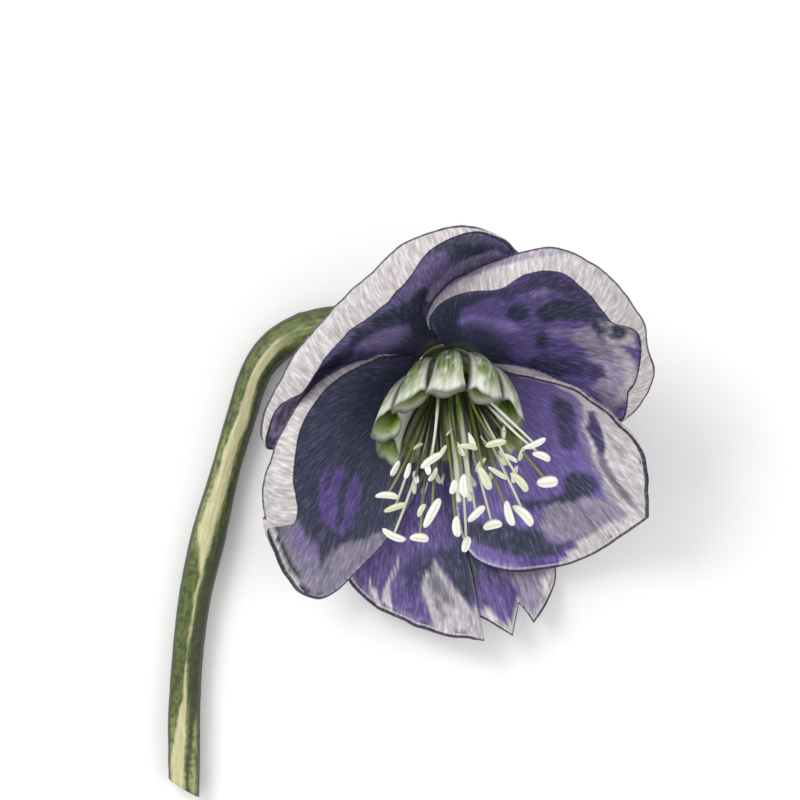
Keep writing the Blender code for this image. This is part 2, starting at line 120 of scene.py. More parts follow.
# The outline runs round the rim, with x, y and height, and then how wide the margin
# beyond it is and how many degrees it rolls over
SEPALS = {
    "sepal_back": {
        **USUAL_SEPAL, "ground": BACK_LIT_PURPLE, "pleat": 0.1, "pale_rim": 0.7, "claw": (122, -1.4),
        "outline": (
            (11.2, 30.3, 11.8, 0.7, 25), (15.3, 36.0, 18.0, 0.7, 25), (18.8, 41.3, 27.0, 0.8, 30),
            (17.0, 44.4, 33.5, 0.9, 40), (12.4, 47.0, 38.5, 1.2, 60), (7.2, 47.3, 41.0, 2.6, 85),
            (2.1, 45.7, 41.0, 3.9, 100), (-3.1, 43.2, 40.0, 7.5, 104),
            (-8.2, 38.7, 37.0, 7.5, 106), (-12.7, 33.8, 33.0, 6.0, 108),
            (-17.0, 28.8, 29.5, 6.1, 110), (-20.5, 24.3, 27.0, 6.2, 112),
            (-22.7, 19.5, 24.0, 2.6, 112), (-24.3, 14.5, 21.0, 2.2, 100),
            (-23.0, 11.5, 18.5, 0.8, 50), (-17.8, 12.8, 15.5, 0.7, 20),
            (-10.3, 17.5, 12.4, 0.7, 15), (-2.0, 21.5, 9.6, 0.7, 15),
        ),
    },
    "sepal_upper": {
        **USUAL_SEPAL, "ground": UPPER_LIT_PURPLE, "pleat": 0.1, "pale_rim": 0.2, "claw": (50, 0.0),
        "outline": (
            (14.3, 23.5, 9.0, 0.7, 10), (20.3, 20.8, 9.0, 0.7, 10), (26.8, 17.2, 11.6, 0.7, 15),
            (32.0, 16.0, 16.6, 0.8, 30), (35.5, 17.0, 21.2, 1.6, 80), (38.9, 19.3, 26.0, 4.8, 115),
            (40.7, 24.1, 29.0, 6.6, 120), (38.9, 28.6, 32.0, 2.4, 95),
            (38.3, 32.2, 34.0, 3.0, 100), (36.1, 36.5, 36.0, 7.2, 105),
            (31.3, 41.1, 38.0, 6.8, 105), (25.6, 43.7, 39.0, 5.0, 105),
            (20.2, 44.0, 38.5, 5.0, 105), (14.7, 42.5, 36.5, 6.2, 105),
            (9.4, 40.1, 33.0, 4.1, 105), (5.4, 37.2, 29.0, 2.4, 105), (3.3, 33.5, 24.0, 1.4, 90),
            (4.5, 29.5, 18.0, 0.8, 50),
        ),
    },
    "sepal_right": {
        **USUAL_SEPAL, "ground": RIGHT_PURPLE, "pleat": 0.08, "pale_rim": 0.6, "corners": (9,),
        "claw": (-24, 1.4),
        "outline": (
            (7.6, 16.1, 9.0, 0.7, 10), (7.6, 7.7, 6.0, 0.7, 10), (8.7, -2.2, 3.6, 0.7, 12),
            (11.4, -7.2, 4.1, 0.7, 15), (16.7, -9.3, 5.2, 0.7, 18), (22.6, -9.1, 5.0, 0.8, 20),
            (28.0, -8.0, 5.4, 0.8, 22), (32.9, -5.6, 7.5, 0.8, 25), (36.4, -2.9, 11.5, 0.8, 25),
            (39.8, -0.1, 16.5, 0.7, 20), (39.6, 2.9, 19.5, 0.8, 25), (39.9, 7.1, 22.5, 0.8, 30),
            (38.3, 11.8, 24.5, 0.9, 35), (35.3, 15.6, 25.5, 1.0, 45), (31.9, 19.0, 25.5, 1.2, 60),
            (27.3, 22.0, 24.0, 1.3, 70), (22.0, 23.6, 21.5, 1.3, 70), (16.6, 24.2, 16.6, 0.9, 45),
        ),
    },
    "sepal_lower": {
        **USUAL_SEPAL, "ground": PURPLE, "pleat": 0.3, "pale_rim": 0.7, "ragged": 0.1,
        "corners": (8, 9, 11, 12, 13), "claw": (-93, -1.4), "cup": 2.5,
        "outline": (
            (2.6, 15.3, 5.2, 0.7, 10), (-2.5, 6.3, 3.6, 0.7, 10), (-7.6, -3.3, 3.4, 0.7, 10),
            (-10.3, -8.6, 4.4, 0.7, 12), (-9.2, -11.6, 4.9, 0.7, 15), (-5.9, -14.7, 5.6, 0.7, 15),
            (-0.8, -17.6, 6.6, 0.7, 15), (5.6, -19.8, 7.2, 0.7, 15), (13.1, -20.8, 8.4, 0.4, 10),
            (10.7, -16.5, 4.8, 0.4, 10), (14.1, -18.0, 5.8, 0.4, 10), (17.8, -20.1, 8.2, 0.4, 10),
            (19.0, -14.7, 4.0, 0.4, 10), (21.4, -17.9, 6.8, 0.4, 10), (23.8, -14.4, 4.6, 0.5, 10),
            (25.3, -9.7, 1.8, 0.6, 10), (23.5, -3.4, 0.9, 0.7, 10), (18.3, 6.0, 1.4, 0.7, 10),
            (12.7, 15.3, 3.8, 0.7, 10),
        ),
    },
    "sepal_left": {
        **USUAL_SEPAL, "ground": NAVY, "pleat": 0.08, "pale_rim": 0.1, "edge_line": 0.28,
        "ragged": 0.2, "claw": (198, 1.4),
        "outline": (
            (0.9, 27.5, 15.5, 0.9, 40), (-5.8, 26.6, 19.0, 1.6, 80), (-12.0, 24.2, 22.5, 2.1, 112),
            (-16.9, 20.0, 25.0, 2.8, 118), (-20.5, 15.0, 26.5, 4.1, 120),
            (-22.4, 10.6, 26.8, 5.6, 120), (-24.1, 6.4, 26.5, 8.0, 120),
            (-24.5, 2.7, 25.0, 8.8, 118), (-24.2, 0.4, 23.8, 8.2, 112),
            (-23.6, -1.4, 22.4, 1.5, 100), (-21.9, -5.7, 18.5, 1.0, 60),
            (-19.5, -10.7, 14.5, 0.8, 40), (-17.2, -13.1, 12.0, 0.8, 35),
            (-14.5, -13.7, 10.2, 0.7, 30), (-11.5, -12.3, 8.6, 0.7, 25),
            (-8.7, -9.6, 7.2, 0.7, 20), (-4.2, -5.0, 6.0, 0.7, 15), (0.2, 0.9, 5.8, 0.7, 15),
            (4.3, 9.4, 7.5, 0.7, 12), (5.6, 15.3, 9.5, 0.7, 12),
        ),
    },
}

# Marks on the faces that look into the flower, as they are seen from above: a
# colour, how soft the edge is, then x and y round the outline in tenths of a millimetre.
# Most are the sepals' own markings; painted shade and painted light are noted
# where they stand
INSIDE_MARKS = {
    "sepal_back": (
        (SLATE, 0.5, 30, 430, 47, 457, 69, 470, 94, 479, 121, 477, 142, 467, 162, 447, 172, 430,
         149, 430, 125, 423, 99, 419, 74, 430, 64, 450, 40, 447),
        (NAVY, 0.45, 77, 457, 108, 460, 138, 453, 155, 440, 135, 436, 108, 440, 84, 443),
        (LILAC, 0.5, 24, 430, 40, 443, 57, 447, 67, 436, 57, 419, 43, 406, 23, 399, 16, 413),
        (LILAC, 0.6, 9, 396, 31, 409, 65, 416, 91, 409, 108, 413, 121, 419, 108, 402, 77, 385,
         57, 368, 36, 358, 13, 358, -8, 365),
        (NAVY, 0.5, 19, 382, 50, 392, 67, 382, 50, 362, 26, 351, 2, 358),
        (NAVY, 0.6, -45, 345, -8, 358, 30, 355, 40, 328, 33, 297, 9, 300, -11, 321, -52, 311,
         -83, 290, -103, 277, -93, 311),
        (LILAC, 0.45, -76, 292, -49, 307, -18, 317, 6, 321, 9, 297, -21, 280, -69, 277),
        (NAVY, 0.35, -117, 277, -93, 287, -93, 270, -117, 253, -144, 236, -168, 215, -181, 198,
         -198, 188, -181, 215, -151, 246),
        # The grey-lilac fold patch, painted near white as painted light against the shade deep in
        # the fold
        (LIT_FOLD_LILAC, 0.3, -226, 192, -209, 197, -188, 200, -174, 209, -171, 195, -188, 175,
         -202, 154, -217, 130, -232, 134, -236, 161),
        (GREY, 0.25, -209, 192, -202, 193, -209, 168, -219, 141, -224, 141, -217, 168),
        (GREY, 0.25, -195, 195, -188, 197, -195, 175, -207, 154, -210, 158, -202, 176),
        # A grey-lilac strip, painted much lighter as painted light against the shade that falls on
        # it
        (LIT_FOLD_LILAC, 0.35, 36, 362, 43, 389, 67, 414, 94, 431, 125, 443, 155, 448, 176, 442,
         142, 426, 104, 409, 74, 387, 57, 365),
    ),
    "sepal_upper": (
        (NAVY, 0.45, 40, 334, 52, 357, 77, 372, 116, 375, 149, 377, 172, 382, 159, 370, 132, 365,
         114, 355, 94, 351, 87, 328, 94, 300, 116, 290, 142, 289, 169, 277, 193, 256, 159, 260,
         125, 277, 74, 280, 50, 294),
        (DUSK, 0.5, 154, 372, 193, 394, 218, 408, 240, 413, 264, 406, 295, 382, 325, 360, 342, 334,
         339, 314, 322, 311, 312, 334, 281, 363, 254, 380, 227, 387, 196, 375, 172, 362),
        (NAVY, 0.4, 235, 360, 254, 370, 281, 365, 303, 351, 315, 338, 308, 322, 281, 328, 261, 334,
         235, 328, 217, 338, 223, 351),
        (NAVY, 0.4, 172, 351, 193, 358, 210, 348, 203, 331, 183, 324, 167, 334),
        (NAVY, 0.35, 315, 338, 329, 345, 342, 334, 339, 311, 324, 304, 312, 321),
        (LILAC, 0.3, 211, 380, 235, 387, 247, 379, 234, 370, 215, 365),
        # A lilac patch, painted much lighter as painted light against the shade in the cup
        (LIT_BRIGHT_LILAC, 0.6, 87, 331, 108, 341, 159, 334, 193, 314, 167, 307, 125, 314, 94, 314),
        (NAVY, 0.4, 217, 307, 230, 311, 240, 297, 234, 280, 218, 287),
        (LILAC, 0.35, 235, 314, 261, 321, 291, 311, 281, 297, 247, 300),
        (MAUVE, 0.45, 286, 312, 312, 321, 329, 300, 349, 289, 373, 277, 393, 260, 397, 229,
         383, 198, 349, 175, 332, 192, 312, 215, 329, 232, 315, 256, 305, 280, 278, 294),
        (DUSK, 0.4, 206, 266, 235, 277, 264, 270, 291, 277, 312, 260, 335, 249, 335, 232, 312, 226,
         269, 239, 235, 249),
        (NAVY, 0.4, 193, 260, 218, 266, 240, 253, 264, 246, 281, 232, 254, 232, 220, 243),
        (PALE, 0.3, 339, 297, 366, 283, 386, 266, 393, 243, 383, 209, 356, 185, 349, 195, 370, 219,
         373, 246, 356, 270),
        (PALE, 0.25, 344, 328, 363, 329, 383, 321, 393, 300, 393, 280, 376, 287, 359, 287,
         342, 290),
        (NAVY, 0.3, 346, 321, 363, 324, 376, 314, 370, 297, 349, 300),
        (GREY, 0.2, 329, 334, 344, 328, 346, 307, 335, 287, 329, 287, 335, 311),
    ),
    "sepal_right": (
        (DUSK, 0.6, 249, 202, 266, 205, 286, 192, 296, 161, 295, 127, 281, 110, 264, 117, 254, 152,
         245, 181),
        (NAVY, 0.5, 254, 195, 268, 192, 276, 168, 271, 144, 257, 161),
        (NAVY, 0.45, 240, 25, 264, 39, 266, 62, 281, 73, 295, 76, 315, 67, 325, 47, 313, 30,
         300, 25, 279, 20, 266, 11, 235, 16, 210, 8, 193, 25),
        (NAVY, 0.5, 57, -9, 108, -9, 159, -12, 201, -23, 227, -21, 240, -43, 264, -52, 286, -45,
         291, -40, 285, -60, 264, -74, 227, -77, 167, -65, 108, -43, 57, -35),
        (WHITE, 0.3, 184, 256, 252, 249, 295, 232, 324, 209, 346, 178, 376, 147, 405, 118, 422, 76,
         422, -1, 371, -52, 329, -69, 278, -80, 254, -86, 264, -74, 285, -60, 293, -38, 329, -9,
         363, 16, 349, 32, 329, 62, 313, 96, 302, 144, 296, 186, 278, 210, 247, 222, 193, 232),
        (LAVENDER, 0.35, 261, 214, 285, 200, 300, 175, 305, 144, 315, 107, 332, 66, 325, 56,
         308, 93, 295, 127, 290, 161, 278, 192, 254, 205),
        # Painted shadow: a dark oval in the pale region
        (DUSK, 0.25, 308, 173, 317, 176, 327, 154, 335, 120, 342, 91, 332, 91, 319, 115, 308, 144),
        (MAUVE, 0.3, 235, 11, 252, 22, 286, 22, 315, 27, 339, 27, 359, 11, 376, -2, 354, -12,
         329, -23, 312, -36, 281, -45, 261, -46, 240, -36, 228, -16),
        # Painted shade: this grey streak and the two pale grey marks are shading lines in the
        # white region
        (GREY, 0.25, 325, 107, 339, 96, 356, 62, 380, 28, 393, 1, 380, 11, 356, 39, 335, 69),
        (PALE_GREY, 0.3, 335, 144, 349, 130, 373, 107, 366, 96, 346, 117),
        (PALE_GREY, 0.3, 329, 66, 349, 39, 366, 18, 356, 11, 335, 35),
        (VIOLET, 0.25, 193, -87, 227, -91, 254, -86, 271, -70, 291, -40, 281, -48, 261, -63,
         227, -72, 184, -74),
    ),
    "sepal_lower": (
        # Painted shade: these five dusk and navy marks are dark shadow beside and above the pale
        # leaf
        (DUSK, 0.6, -3, -77, 23, -63, 47, -70, 40, -97, 23, -118, 9, -145, -4, -128, -6, -101),
        (NAVY, 0.5, 43, -57, 74, -53, 108, -53, 125, -63, 121, -103, 114, -142, 104, -155,
         87, -131, 74, -108, 60, -91),
        (NAVY, 0.4, 30, -70, 43, -63, 47, -80, 36, -101, 24, -118, 16, -111),
        (DUSK, 0.5, 125, -70, 159, -77, 167, -97, 152, -118, 132, -111),
        (PALE, 0.2, 47, -77, 60, -97, 81, -125, 101, -148, 114, -159, 132, -172, 145, -213,
         108, -220, 74, -216, 50, -203, 40, -172, 30, -145, 24, -121, 33, -101, 41, -94),
        # Painted shade: the two grey marks are shadow inside the pale leaf
        (GREY, 0.3, 43, -89, 57, -106, 72, -130, 84, -152, 74, -159, 58, -142, 45, -131, 35, -121),
        (GREY, 0.2, 47, -131, 57, -148, 69, -176, 58, -172, 47, -155),
        (WHITE, 0.08, -64, -103, -59, -118, -52, -131, -45, -147, -42, -162, -50, -157, -59, -140,
         -64, -123),
        (WHITE, 0.08, -13, -70, -18, -96, -27, -116, -28, -133, -25, -150, -23, -169, -32, -162,
         -39, -147, -42, -135, -35, -118, -27, -101),
        (MAUVE, 0.3, 154, -94, 184, -84, 235, -77, 261, -74, 261, -103, 251, -125, 239, -142,
         227, -162, 215, -182, 205, -165, 194, -148, 189, -131, 172, -111),
        (GREY_LILAC, 0.3, 184, -87, 218, -87, 227, -108, 210, -128, 196, -121),
        (WHITE, 0.16, 228, -111, 240, -97, 254, -87, 261, -94, 251, -121, 237, -142, 228, -145,
         232, -128),
        (WHITE, 0.1, 132, -157, 145, -167, 164, -181, 172, -189, 179, -179, 186, -159, 189, -142,
         198, -145, 188, -186, 179, -210, 167, -206, 142, -189, 128, -176),
    ),
    "sepal_left": (
        (VIOLET, 0.22, -130, 91, -117, 83, -101, 74, -93, 66, -83, 61, -76, 42, -81, 16, -91, -7,
         -101, -26, -112, -36, -124, -23, -135, -14, -146, -1, -149, 25, -146, 59),
        (NAVY, 0.2, -103, 76, -91, 64, -101, 39, -107, 16, -110, -6, -115, -29, -122, -16, -118, 8,
         -117, 28, -110, 45),
        (DUSK, 0.2, -129, 90, -120, 86, -124, 59, -134, 39, -141, 45, -134, 69),
        (GREY_LILAC, 0.25, -246, -11, -207, -9, -180, -7, -174, -26, -163, -43, -151, -58,
         -144, -94, -135, -65, -118, -53, -96, -48, -78, -43, -59, -31, -39, -28, -28, -40,
         -59, -70, -93, -104, -122, -135, -151, -152, -181, -145, -209, -118, -229, -77,
         -242, -43),
        (LILAC, 0.5, -181, -16, -168, -40, -152, -58, -151, -80, -168, -77, -185, -60, -198, -36,
         -198, -19),
        (MAUVE, 0.5, -120, -63, -93, -55, -59, -45, -45, -45, -76, -70, -110, -97, -127, -87),
        (MAUVE, 0.5, -219, -26, -205, -52, -188, -87, -164, -114, -147, -128, -168, -131,
         -195, -104, -215, -63),
        (WHITE, 0.14, -266, -1, -246, -4, -226, -11, -219, -29, -212, -55, -202, -82, -185, -111,
         -168, -135, -188, -145, -232, -94, -258, -43),
        (LINE, 0.08, -224, -6, -209, -4, -183, -4, -181, -9, -209, -11, -219, -12, -215, -28,
         -207, -53, -197, -80, -180, -109, -163, -133, -168, -138, -186, -113, -203, -84,
         -214, -57, -220, -31),
    ),
}

OUTSIDE_MARKS = {
    "sepal_upper": (
        # Painted shade: a grey-lilac strip of shading along the outer part of the rolled band
        (GREY_LILAC, 0.2, 57, 392, 87, 414, 133, 438, 181, 452, 242, 464, 298, 459, 286, 443,
         240, 438, 193, 430, 149, 418, 103, 404, 74, 385),
    ),
    "sepal_left": (
        (PALE_GREY, 0.4, -246, 25, -242, 76, -229, 127, -212, 164, -198, 178, -209, 144, -222, 101,
         -229, 59, -229, 16, -239, -1),
    ),
}


def travelled(points):
    """How far each point is along its row"""
    steps = np.linalg.norm(np.diff(points, axis=-2), axis=-1)
    start = np.zeros((*steps.shape[:-1], 1))
    return np.concatenate((start, np.cumsum(steps, axis=-1)), axis=-1)


def past_each(points):
    """From the point before each one to the point after it"""
    steps = np.empty_like(points)
    steps[1:-1] = points[2:] - points[:-2]
    steps[0], steps[-1] = points[1] - points[0], points[-1] - points[-2]
    return steps


def round_angles(sides):
    """Even angles round a ring, in radians"""
    return np.arange(sides) * 2 * math.pi / sides


def smooth_curve(points, step, corners=()):
    """Points every step or so on a smooth curve that meets each given point"""
    points = np.array(points, float)
    knots = travelled(points[:, :3])
    last = len(points) - 1
    leave, arrive = np.zeros_like(points), np.zeros_like(points)
    for i in range(last + 1):
        before, after = max(i - 1, 0), min(i + 1, last)
        leave[i] = arrive[i] = (points[after] - points[before]) / (knots[after] - knots[before])
        if i in corners:
            leave[i] = (points[after] - points[i]) / (knots[after] - knots[i])
            arrive[i] = (points[i] - points[before]) / (knots[i] - knots[before])
    shares, spots = [], []
    for i in range(last):
        span = knots[i + 1] - knots[i]
        pieces = max(1, round(span / step))
        for k in range(pieces):
            t = k / pieces
            spot = (2 * t**3 - 3 * t**2 + 1) * points[i] + (3 * t**2 - 2 * t**3) * points[i + 1]
            lean = (t**3 - 2 * t**2 + t) * leave[i] + (t**3 - t**2) * arrive[i + 1]
            spots.append(spot + lean * span)
            shares.append((knots[i] + t * span) / knots[-1])
    return np.array([*shares, 1.0]), np.array([*spots, points[-1]])


def normalised(vectors):
    """Vectors of length 1 with the same directions"""
    return vectors / np.maximum(np.linalg.norm(vectors, axis=-1, keepdims=True), 1e-9)


def smoothstep(low, high, value):
    """From 0 at the low value to 1 at the high one, with soft ends"""
    t = np.clip((value - low) / (high - low), 0, 1)
    return t * t * (3 - 2 * t)


def band(low, high, softness, value):
    """1 between the low and the high value, and 0 outside them"""
    return smoothstep(0, softness, value - low) * smoothstep(0, softness, high - value)


def wander(x, y, seed=0):
    """Smooth noise from -1 to 1 that changes over about one unit of x and y"""
    x, y = np.broadcast_arrays(np.asarray(x, float), np.asarray(y, float))
    x0, y0 = np.floor(x), np.floor(y)
    tx, ty = x - x0, y - y0
    tx, ty = tx * tx * (3 - 2 * tx), ty * ty * (3 - 2 * ty)

    def corner(i, j):
        value = np.sin((x0 + i) * 127.1 + (y0 + j) * 311.7 + seed * 74.7) * 43758.5453
        return (value - np.floor(value)) * 2 - 1

    near = corner(0, 0) * (1 - tx) + corner(1, 0) * tx
    far = corner(0, 1) * (1 - tx) + corner(1, 1) * tx
    return near * (1 - ty) + far * ty


def spoke_at(angle):
    """The direction square to the flower axis at an angle round it"""
    angle = np.asarray(angle, float)[..., None]
    return ACROSS * np.cos(angle) + UPWARD * np.sin(angle)


def flower_point(radius, angle, height):
    """A point by its distance from the flower axis, its angle and its height"""
    return RECEPTACLE + spoke_at(angle) * radius + FLOWER_AXIS * height


def on_surface(points):
    """Where points appear on the surface when they are looked down on"""
    share = 1 - points[..., 2:3] / VIEW_HEIGHT
    return VIEW_CENTRE + (points[..., :2] - VIEW_CENTRE) / share


def inside_outline(places, outline, softness):
    """1 inside an outline and 0 outside it, changing over the softness at its edge"""
    corners = np.array(outline, float)
    nearest = np.full(places.shape[:-1], 1e9)
    odd = np.zeros(places.shape[:-1], bool)
    for a, b in zip(corners, np.roll(corners, -1, axis=0)):
        side = b - a
        t = np.clip(((places - a) @ side) / (side @ side), 0, 1)
        nearest = np.minimum(nearest, np.linalg.norm(places - a - t[..., None] * side, axis=-1))
        crosses = (a[1] > places[..., 1]) != (b[1] > places[..., 1])
        rise = side[1] if side[1] else 1e-9
        odd ^= crosses & (places[..., 0] < a[0] + side[0] * (places[..., 1] - a[1]) / rise)
    return smoothstep(-softness, softness, np.where(odd, nearest, -nearest))


def blend(tint, new, share):
    """A tint moved towards a new one by a share for each point"""
    return tint + (new - tint) * np.asarray(share)[..., None]


def streaks(share, share_down, seed, fineness):
    """Long streaks from claw to margin, with finer ones between them"""
    coarse = wander(share * 150, share_down * 2.2, seed)
    return coarse + 0.5 * wander(share * 310, share_down * fineness, seed + 1)


def slow_shift(places, seed):
    """Sideways shifts that change slowly over the surface"""
    x, y = places[..., 0] / 3, places[..., 1] / 3
    return np.stack((wander(x, y, seed), wander(x, y, seed + 1)), axis=-1)


def add_marks(tint, marks, places, strength=1.0):
    """A tint with marks painted over it, each inside its outline"""
    for shade, softness, *outline in marks:
        inside = inside_outline(places, np.reshape(outline, (-1, 2)) / 10, softness)
        tint = blend(tint, shade, inside * strength)
    return tint


def rise_and_spread(reach):
    """The part of a reach that runs along the flower axis, and the rest of it"""
    rise = reach @ FLOWER_AXIS
    return rise, reach - rise[:, None] * FLOWER_AXIS


def sepal_grid(sepal):
    """The middle surface of a sepal as rows of points from claw to free edge"""
    centre, height = sepal["claw"]
    shares, spots = smooth_curve(sepal["outline"], COLUMN_STEP, sepal["corners"])
    rims = spots[:, :3]
    travel = travelled(rims)
    frill = 1 + 0.05 * wander(travel / 4.5, 0.5, centre) + 0.03 * wander(travel / 1.9, 3.5, centre)
    width = spots[:, 3] * frill
    angle = np.radians(spots[:, 4])
    around = math.radians(centre) + CLAW_HALF_WIDTH * (2 * shares - 1)
    claw = flower_point(math.sqrt(CLAW_REACH**2 - height**2), around, height)
    rise, spread = rise_and_spread(rims - claw)
    index = np.arange(len(rims))
    ahead = np.minimum(index + ALONG_WINDOW, len(rims) - 1)
    behind = np.maximum(index - ALONG_WINDOW, 0)
    along = normalised(rims[ahead] - rims[behind])
    outward = normalised(spread + FLOWER_AXIS * (rise * sepal["cup"])[:, None])
    round_flower = np.cross(FLOWER_AXIS, spoke_at(around))
    inner = normalised(np.cross(outward, along + round_flower * 0.5))
    outward = normalised(np.cross(along, inner))
    # The rolled margin turns more and more slowly towards its free edge
    left = 1 - (np.arange(FLAP_ROWS) + 0.5) / FLAP_ROWS
    turn = angle[:, None] * (1 - left**2)
    out = np.cumsum(np.cos(turn) * width[:, None] / FLAP_ROWS, axis=1)
    up = np.cumsum(np.sin(turn) * width[:, None] / FLAP_ROWS, axis=1)
    fold = rims - outward * np.maximum(out.max(axis=1), 0)[:, None]
    rise, spread = rise_and_spread(fold - claw)
    s = np.linspace(0, 1, BLADE_ROWS)[None, :, None]
    blade = claw[:, None] + spread[:, None] * s
    blade = blade + FLOWER_AXIS * (rise[:, None, None] * s ** sepal["cup"])
    flap = fold[:, None] + outward[:, None] * out[..., None] + inner[:, None] * up[..., None]
    return np.concatenate((blade, flap), axis=1), travel, shares


def grid_normals(grid):
    """The way each point faces, and the way its row runs from claw to free edge"""
    side = past_each(grid)
    out = past_each(grid.swapaxes(0, 1)).swapaxes(0, 1)
    return normalised(np.cross(out, side)), normalised(out)


def shape_sepal(sepal):
    """The two faces of a sepal, with what its colours need to know"""
    grid, travel, shares = sepal_grid(sepal)
    seed = sepal["claw"][0]
    down = travelled(grid)
    from_edge = down[:, -1:] - down
    share_down = down / down[:, -1:]
    across = np.broadcast_to(travel[:, None], down.shape)
    normals = grid_normals(grid)[0]
    # Slow waves that grow towards the margin, then pleats and raised veins
    grown = smoothstep(0.25, 1.0, share_down)
    waves = 0.34 * wander(across / 7, share_down * 2.5, seed + 1)
    waves = waves + 0.16 * wander(across / 3.1, share_down * 4, seed + 2)
    pleat = sepal["pleat"] * wander(across / 2.3, share_down * 1.5, seed + 3)
    vein = 1 - np.abs(wander(shares[:, None] * 46 + 0.35 * share_down, share_down * 1.6, seed + 4))
    vein = vein**4
    fine = 1 - np.abs(wander(shares[:, None] * 110, share_down * 5, seed + 5))
    height = grown * (waves + pleat) + 0.07 * vein * smoothstep(0.05, 0.4, share_down)
    height = height + 0.03 * fine**3 * grown
    grid = grid + normals * height[..., None]
    normals, out = grid_normals(grid)
    body = smoothstep(0.02, 0.3, share_down)
    thickness = CLAW_THICKNESS + (BLADE_THICKNESS - CLAW_THICKNESS) * body
    left = np.clip(1 - from_edge / EDGE_ROUNDING, 0, 1)
    thickness = thickness * np.sqrt(np.clip(1 - left**2, 0.02, 1))
    inner = grid + normals * thickness[..., None] / 2
    outer = grid - normals * thickness[..., None] / 2
    # The crest is the row that stands out furthest when the sepal is looked down on
    along = np.empty((len(grid), 2))
    rim = on_surface(grid[:, BLADE_ROWS - 1])
    along[2:-2] = rim[4:] - rim[:-4]
    along[:2], along[-2:] = along[2], along[-3]
    away = normalised(np.stack((along[:, 1], -along[:, 0]), axis=1))
    reach = np.einsum("ijk,ik->ij", on_surface(outer), away)
    start = BLADE_ROWS // 2
    crest = start + np.argmax(reach[:, start:], axis=1)
    crest_place = np.take_along_axis(from_edge, crest[:, None], axis=1)
    padded = np.pad(crest_place[:, 0], 4, mode="edge")
    crest_place = np.convolve(padded, np.ones(9) / 9, mode="valid")[:, None]
    from_crest = from_edge - crest_place
    rib = np.exp(-((from_crest / RIB_WIDTH) ** 2)) * smoothstep(0.35, 0.6, share_down)
    outer = outer - normals * (RIB_HEIGHT * rib)[..., None]
    outer[..., 2] = np.maximum(outer[..., 2], 0.0)
    inner[..., 2] = np.maximum(inner[..., 2], 0.25)
    return {
        "inner": inner, "outer": outer, "normals": normals, "out": out,
        "share": shares[:, None], "down": down, "share_down": share_down,
        "from_edge": from_edge, "from_crest": from_crest, "crest_place": crest_place,
        "outer_part": smoothstep(0.4, 0.6, share_down), "vein": vein, "seed": seed,
    }


def paint_inner(name, sepal, form):
    """Colours of the face that looks into the flower"""
    places = on_surface(form["inner"])
    seed, share_down, edge = form["seed"], form["share_down"], form["from_edge"]
    streak = streaks(form["share"], share_down, seed + 11, 4)
    heading = normalised(form["out"][..., :2])
    warped = places + heading * (streak * sepal["ragged"])[..., None]
    warped = warped + slow_shift(places, seed) * (1.6 * sepal["ragged"])
    tint = add_marks(sepal["ground"], INSIDE_MARKS[name], warped)
    # Pale threads between the veins, strongest in the purple
    light = smoothstep(0.35, 1.2, streak) * 0.26 * smoothstep(0.15, 0.5, share_down)
    tint = blend(tint, LILAC, light * smoothstep(0.45, 0.1, tint.mean(axis=-1)))
    dark = smoothstep(0.25, 1.1, -streak) * 0.3 * smoothstep(0.1, 0.4, share_down)
    tint = tint * (1 - dark)[..., None]
    mottle = wander(places[..., 0] / 1.3, places[..., 1] / 0.8, seed + 21)
    tint = tint * (1 + 0.07 * mottle)[..., None]
    # Dark towards the claw, greenish at its foot
    tint = blend(tint, NAVY, smoothstep(0.24, 0.12, share_down) * 0.85)
    tint = blend(tint, BACK_GREEN * 0.6, smoothstep(0.05, 0.02, share_down) * 0.6)
    # A dark rim where the margin itself is the outline, with a pale one inside it
    flat = smoothstep(1.1, 0.5, form["crest_place"])
    pale = smoothstep(0.2, 0.32, edge) * smoothstep(0.8, 0.55, edge) * flat
    tint = blend(tint, WHITE, pale * sepal["pale_rim"] * form["outer_part"])
    return blend(tint, LINE, smoothstep(0.22, 0.12, edge) * form["outer_part"] * RIM_STRENGTH)


def paint_outer(name, sepal, form):
    """Colours of the back and of the margin that rolls over"""
    places = on_surface(form["outer"])
    seed, share_down, edge = form["seed"], form["share_down"], form["from_edge"]
    streak = streaks(form["share"], share_down, seed + 31, 5)
    # A purple flush along the veins of the back that leaves the margin pale
    inland = smoothstep(1.5, 9.0, edge - form["crest_place"])
    flush = inland * smoothstep(0.1, 0.35, share_down) * (0.45 + 0.3 * streak)
    tint = blend(BACK_WHITE, BACK_FLUSH, np.clip(flush, 0, 0.9))
    tint = blend(tint, BACK_GREEN, smoothstep(0.34, 0.1, share_down) * 0.75)
    tint = blend(tint, PURPLE, form["vein"] * inland * 0.35)
    strength = smoothstep(12.0, 9.0, edge) * (0.75 + 0.25 * streak)
    shifted = places + slow_shift(places, seed) * 0.4
    tint = add_marks(tint, OUTSIDE_MARKS.get(name, ()), shifted, strength)
    tint = tint * (1 + 0.05 * streak)[..., None]
    blush = wander(places[..., 0] / 2.5, places[..., 1] / 2.5, seed + 41)
    tint = blend(tint, BACK_BLUSH, smoothstep(0.2, 0.8, blush) * 0.35)
    # Dark lines along the free edge and, but for the flat lower sepal, along the crest
    rim = smoothstep(sepal["edge_line"], sepal["edge_line"] * 0.6, edge) * form["outer_part"]
    tint = blend(tint, DEEP_LINE, rim)
    if name == "sepal_lower":
        return tint
    crest = smoothstep(0.42, 0.26, np.abs(form["from_crest"] + 0.08))
    crest = crest * form["outer_part"] * smoothstep(0.5, 1.2, form["crest_place"])
    return blend(tint, LINE, crest * RIM_STRENGTH)


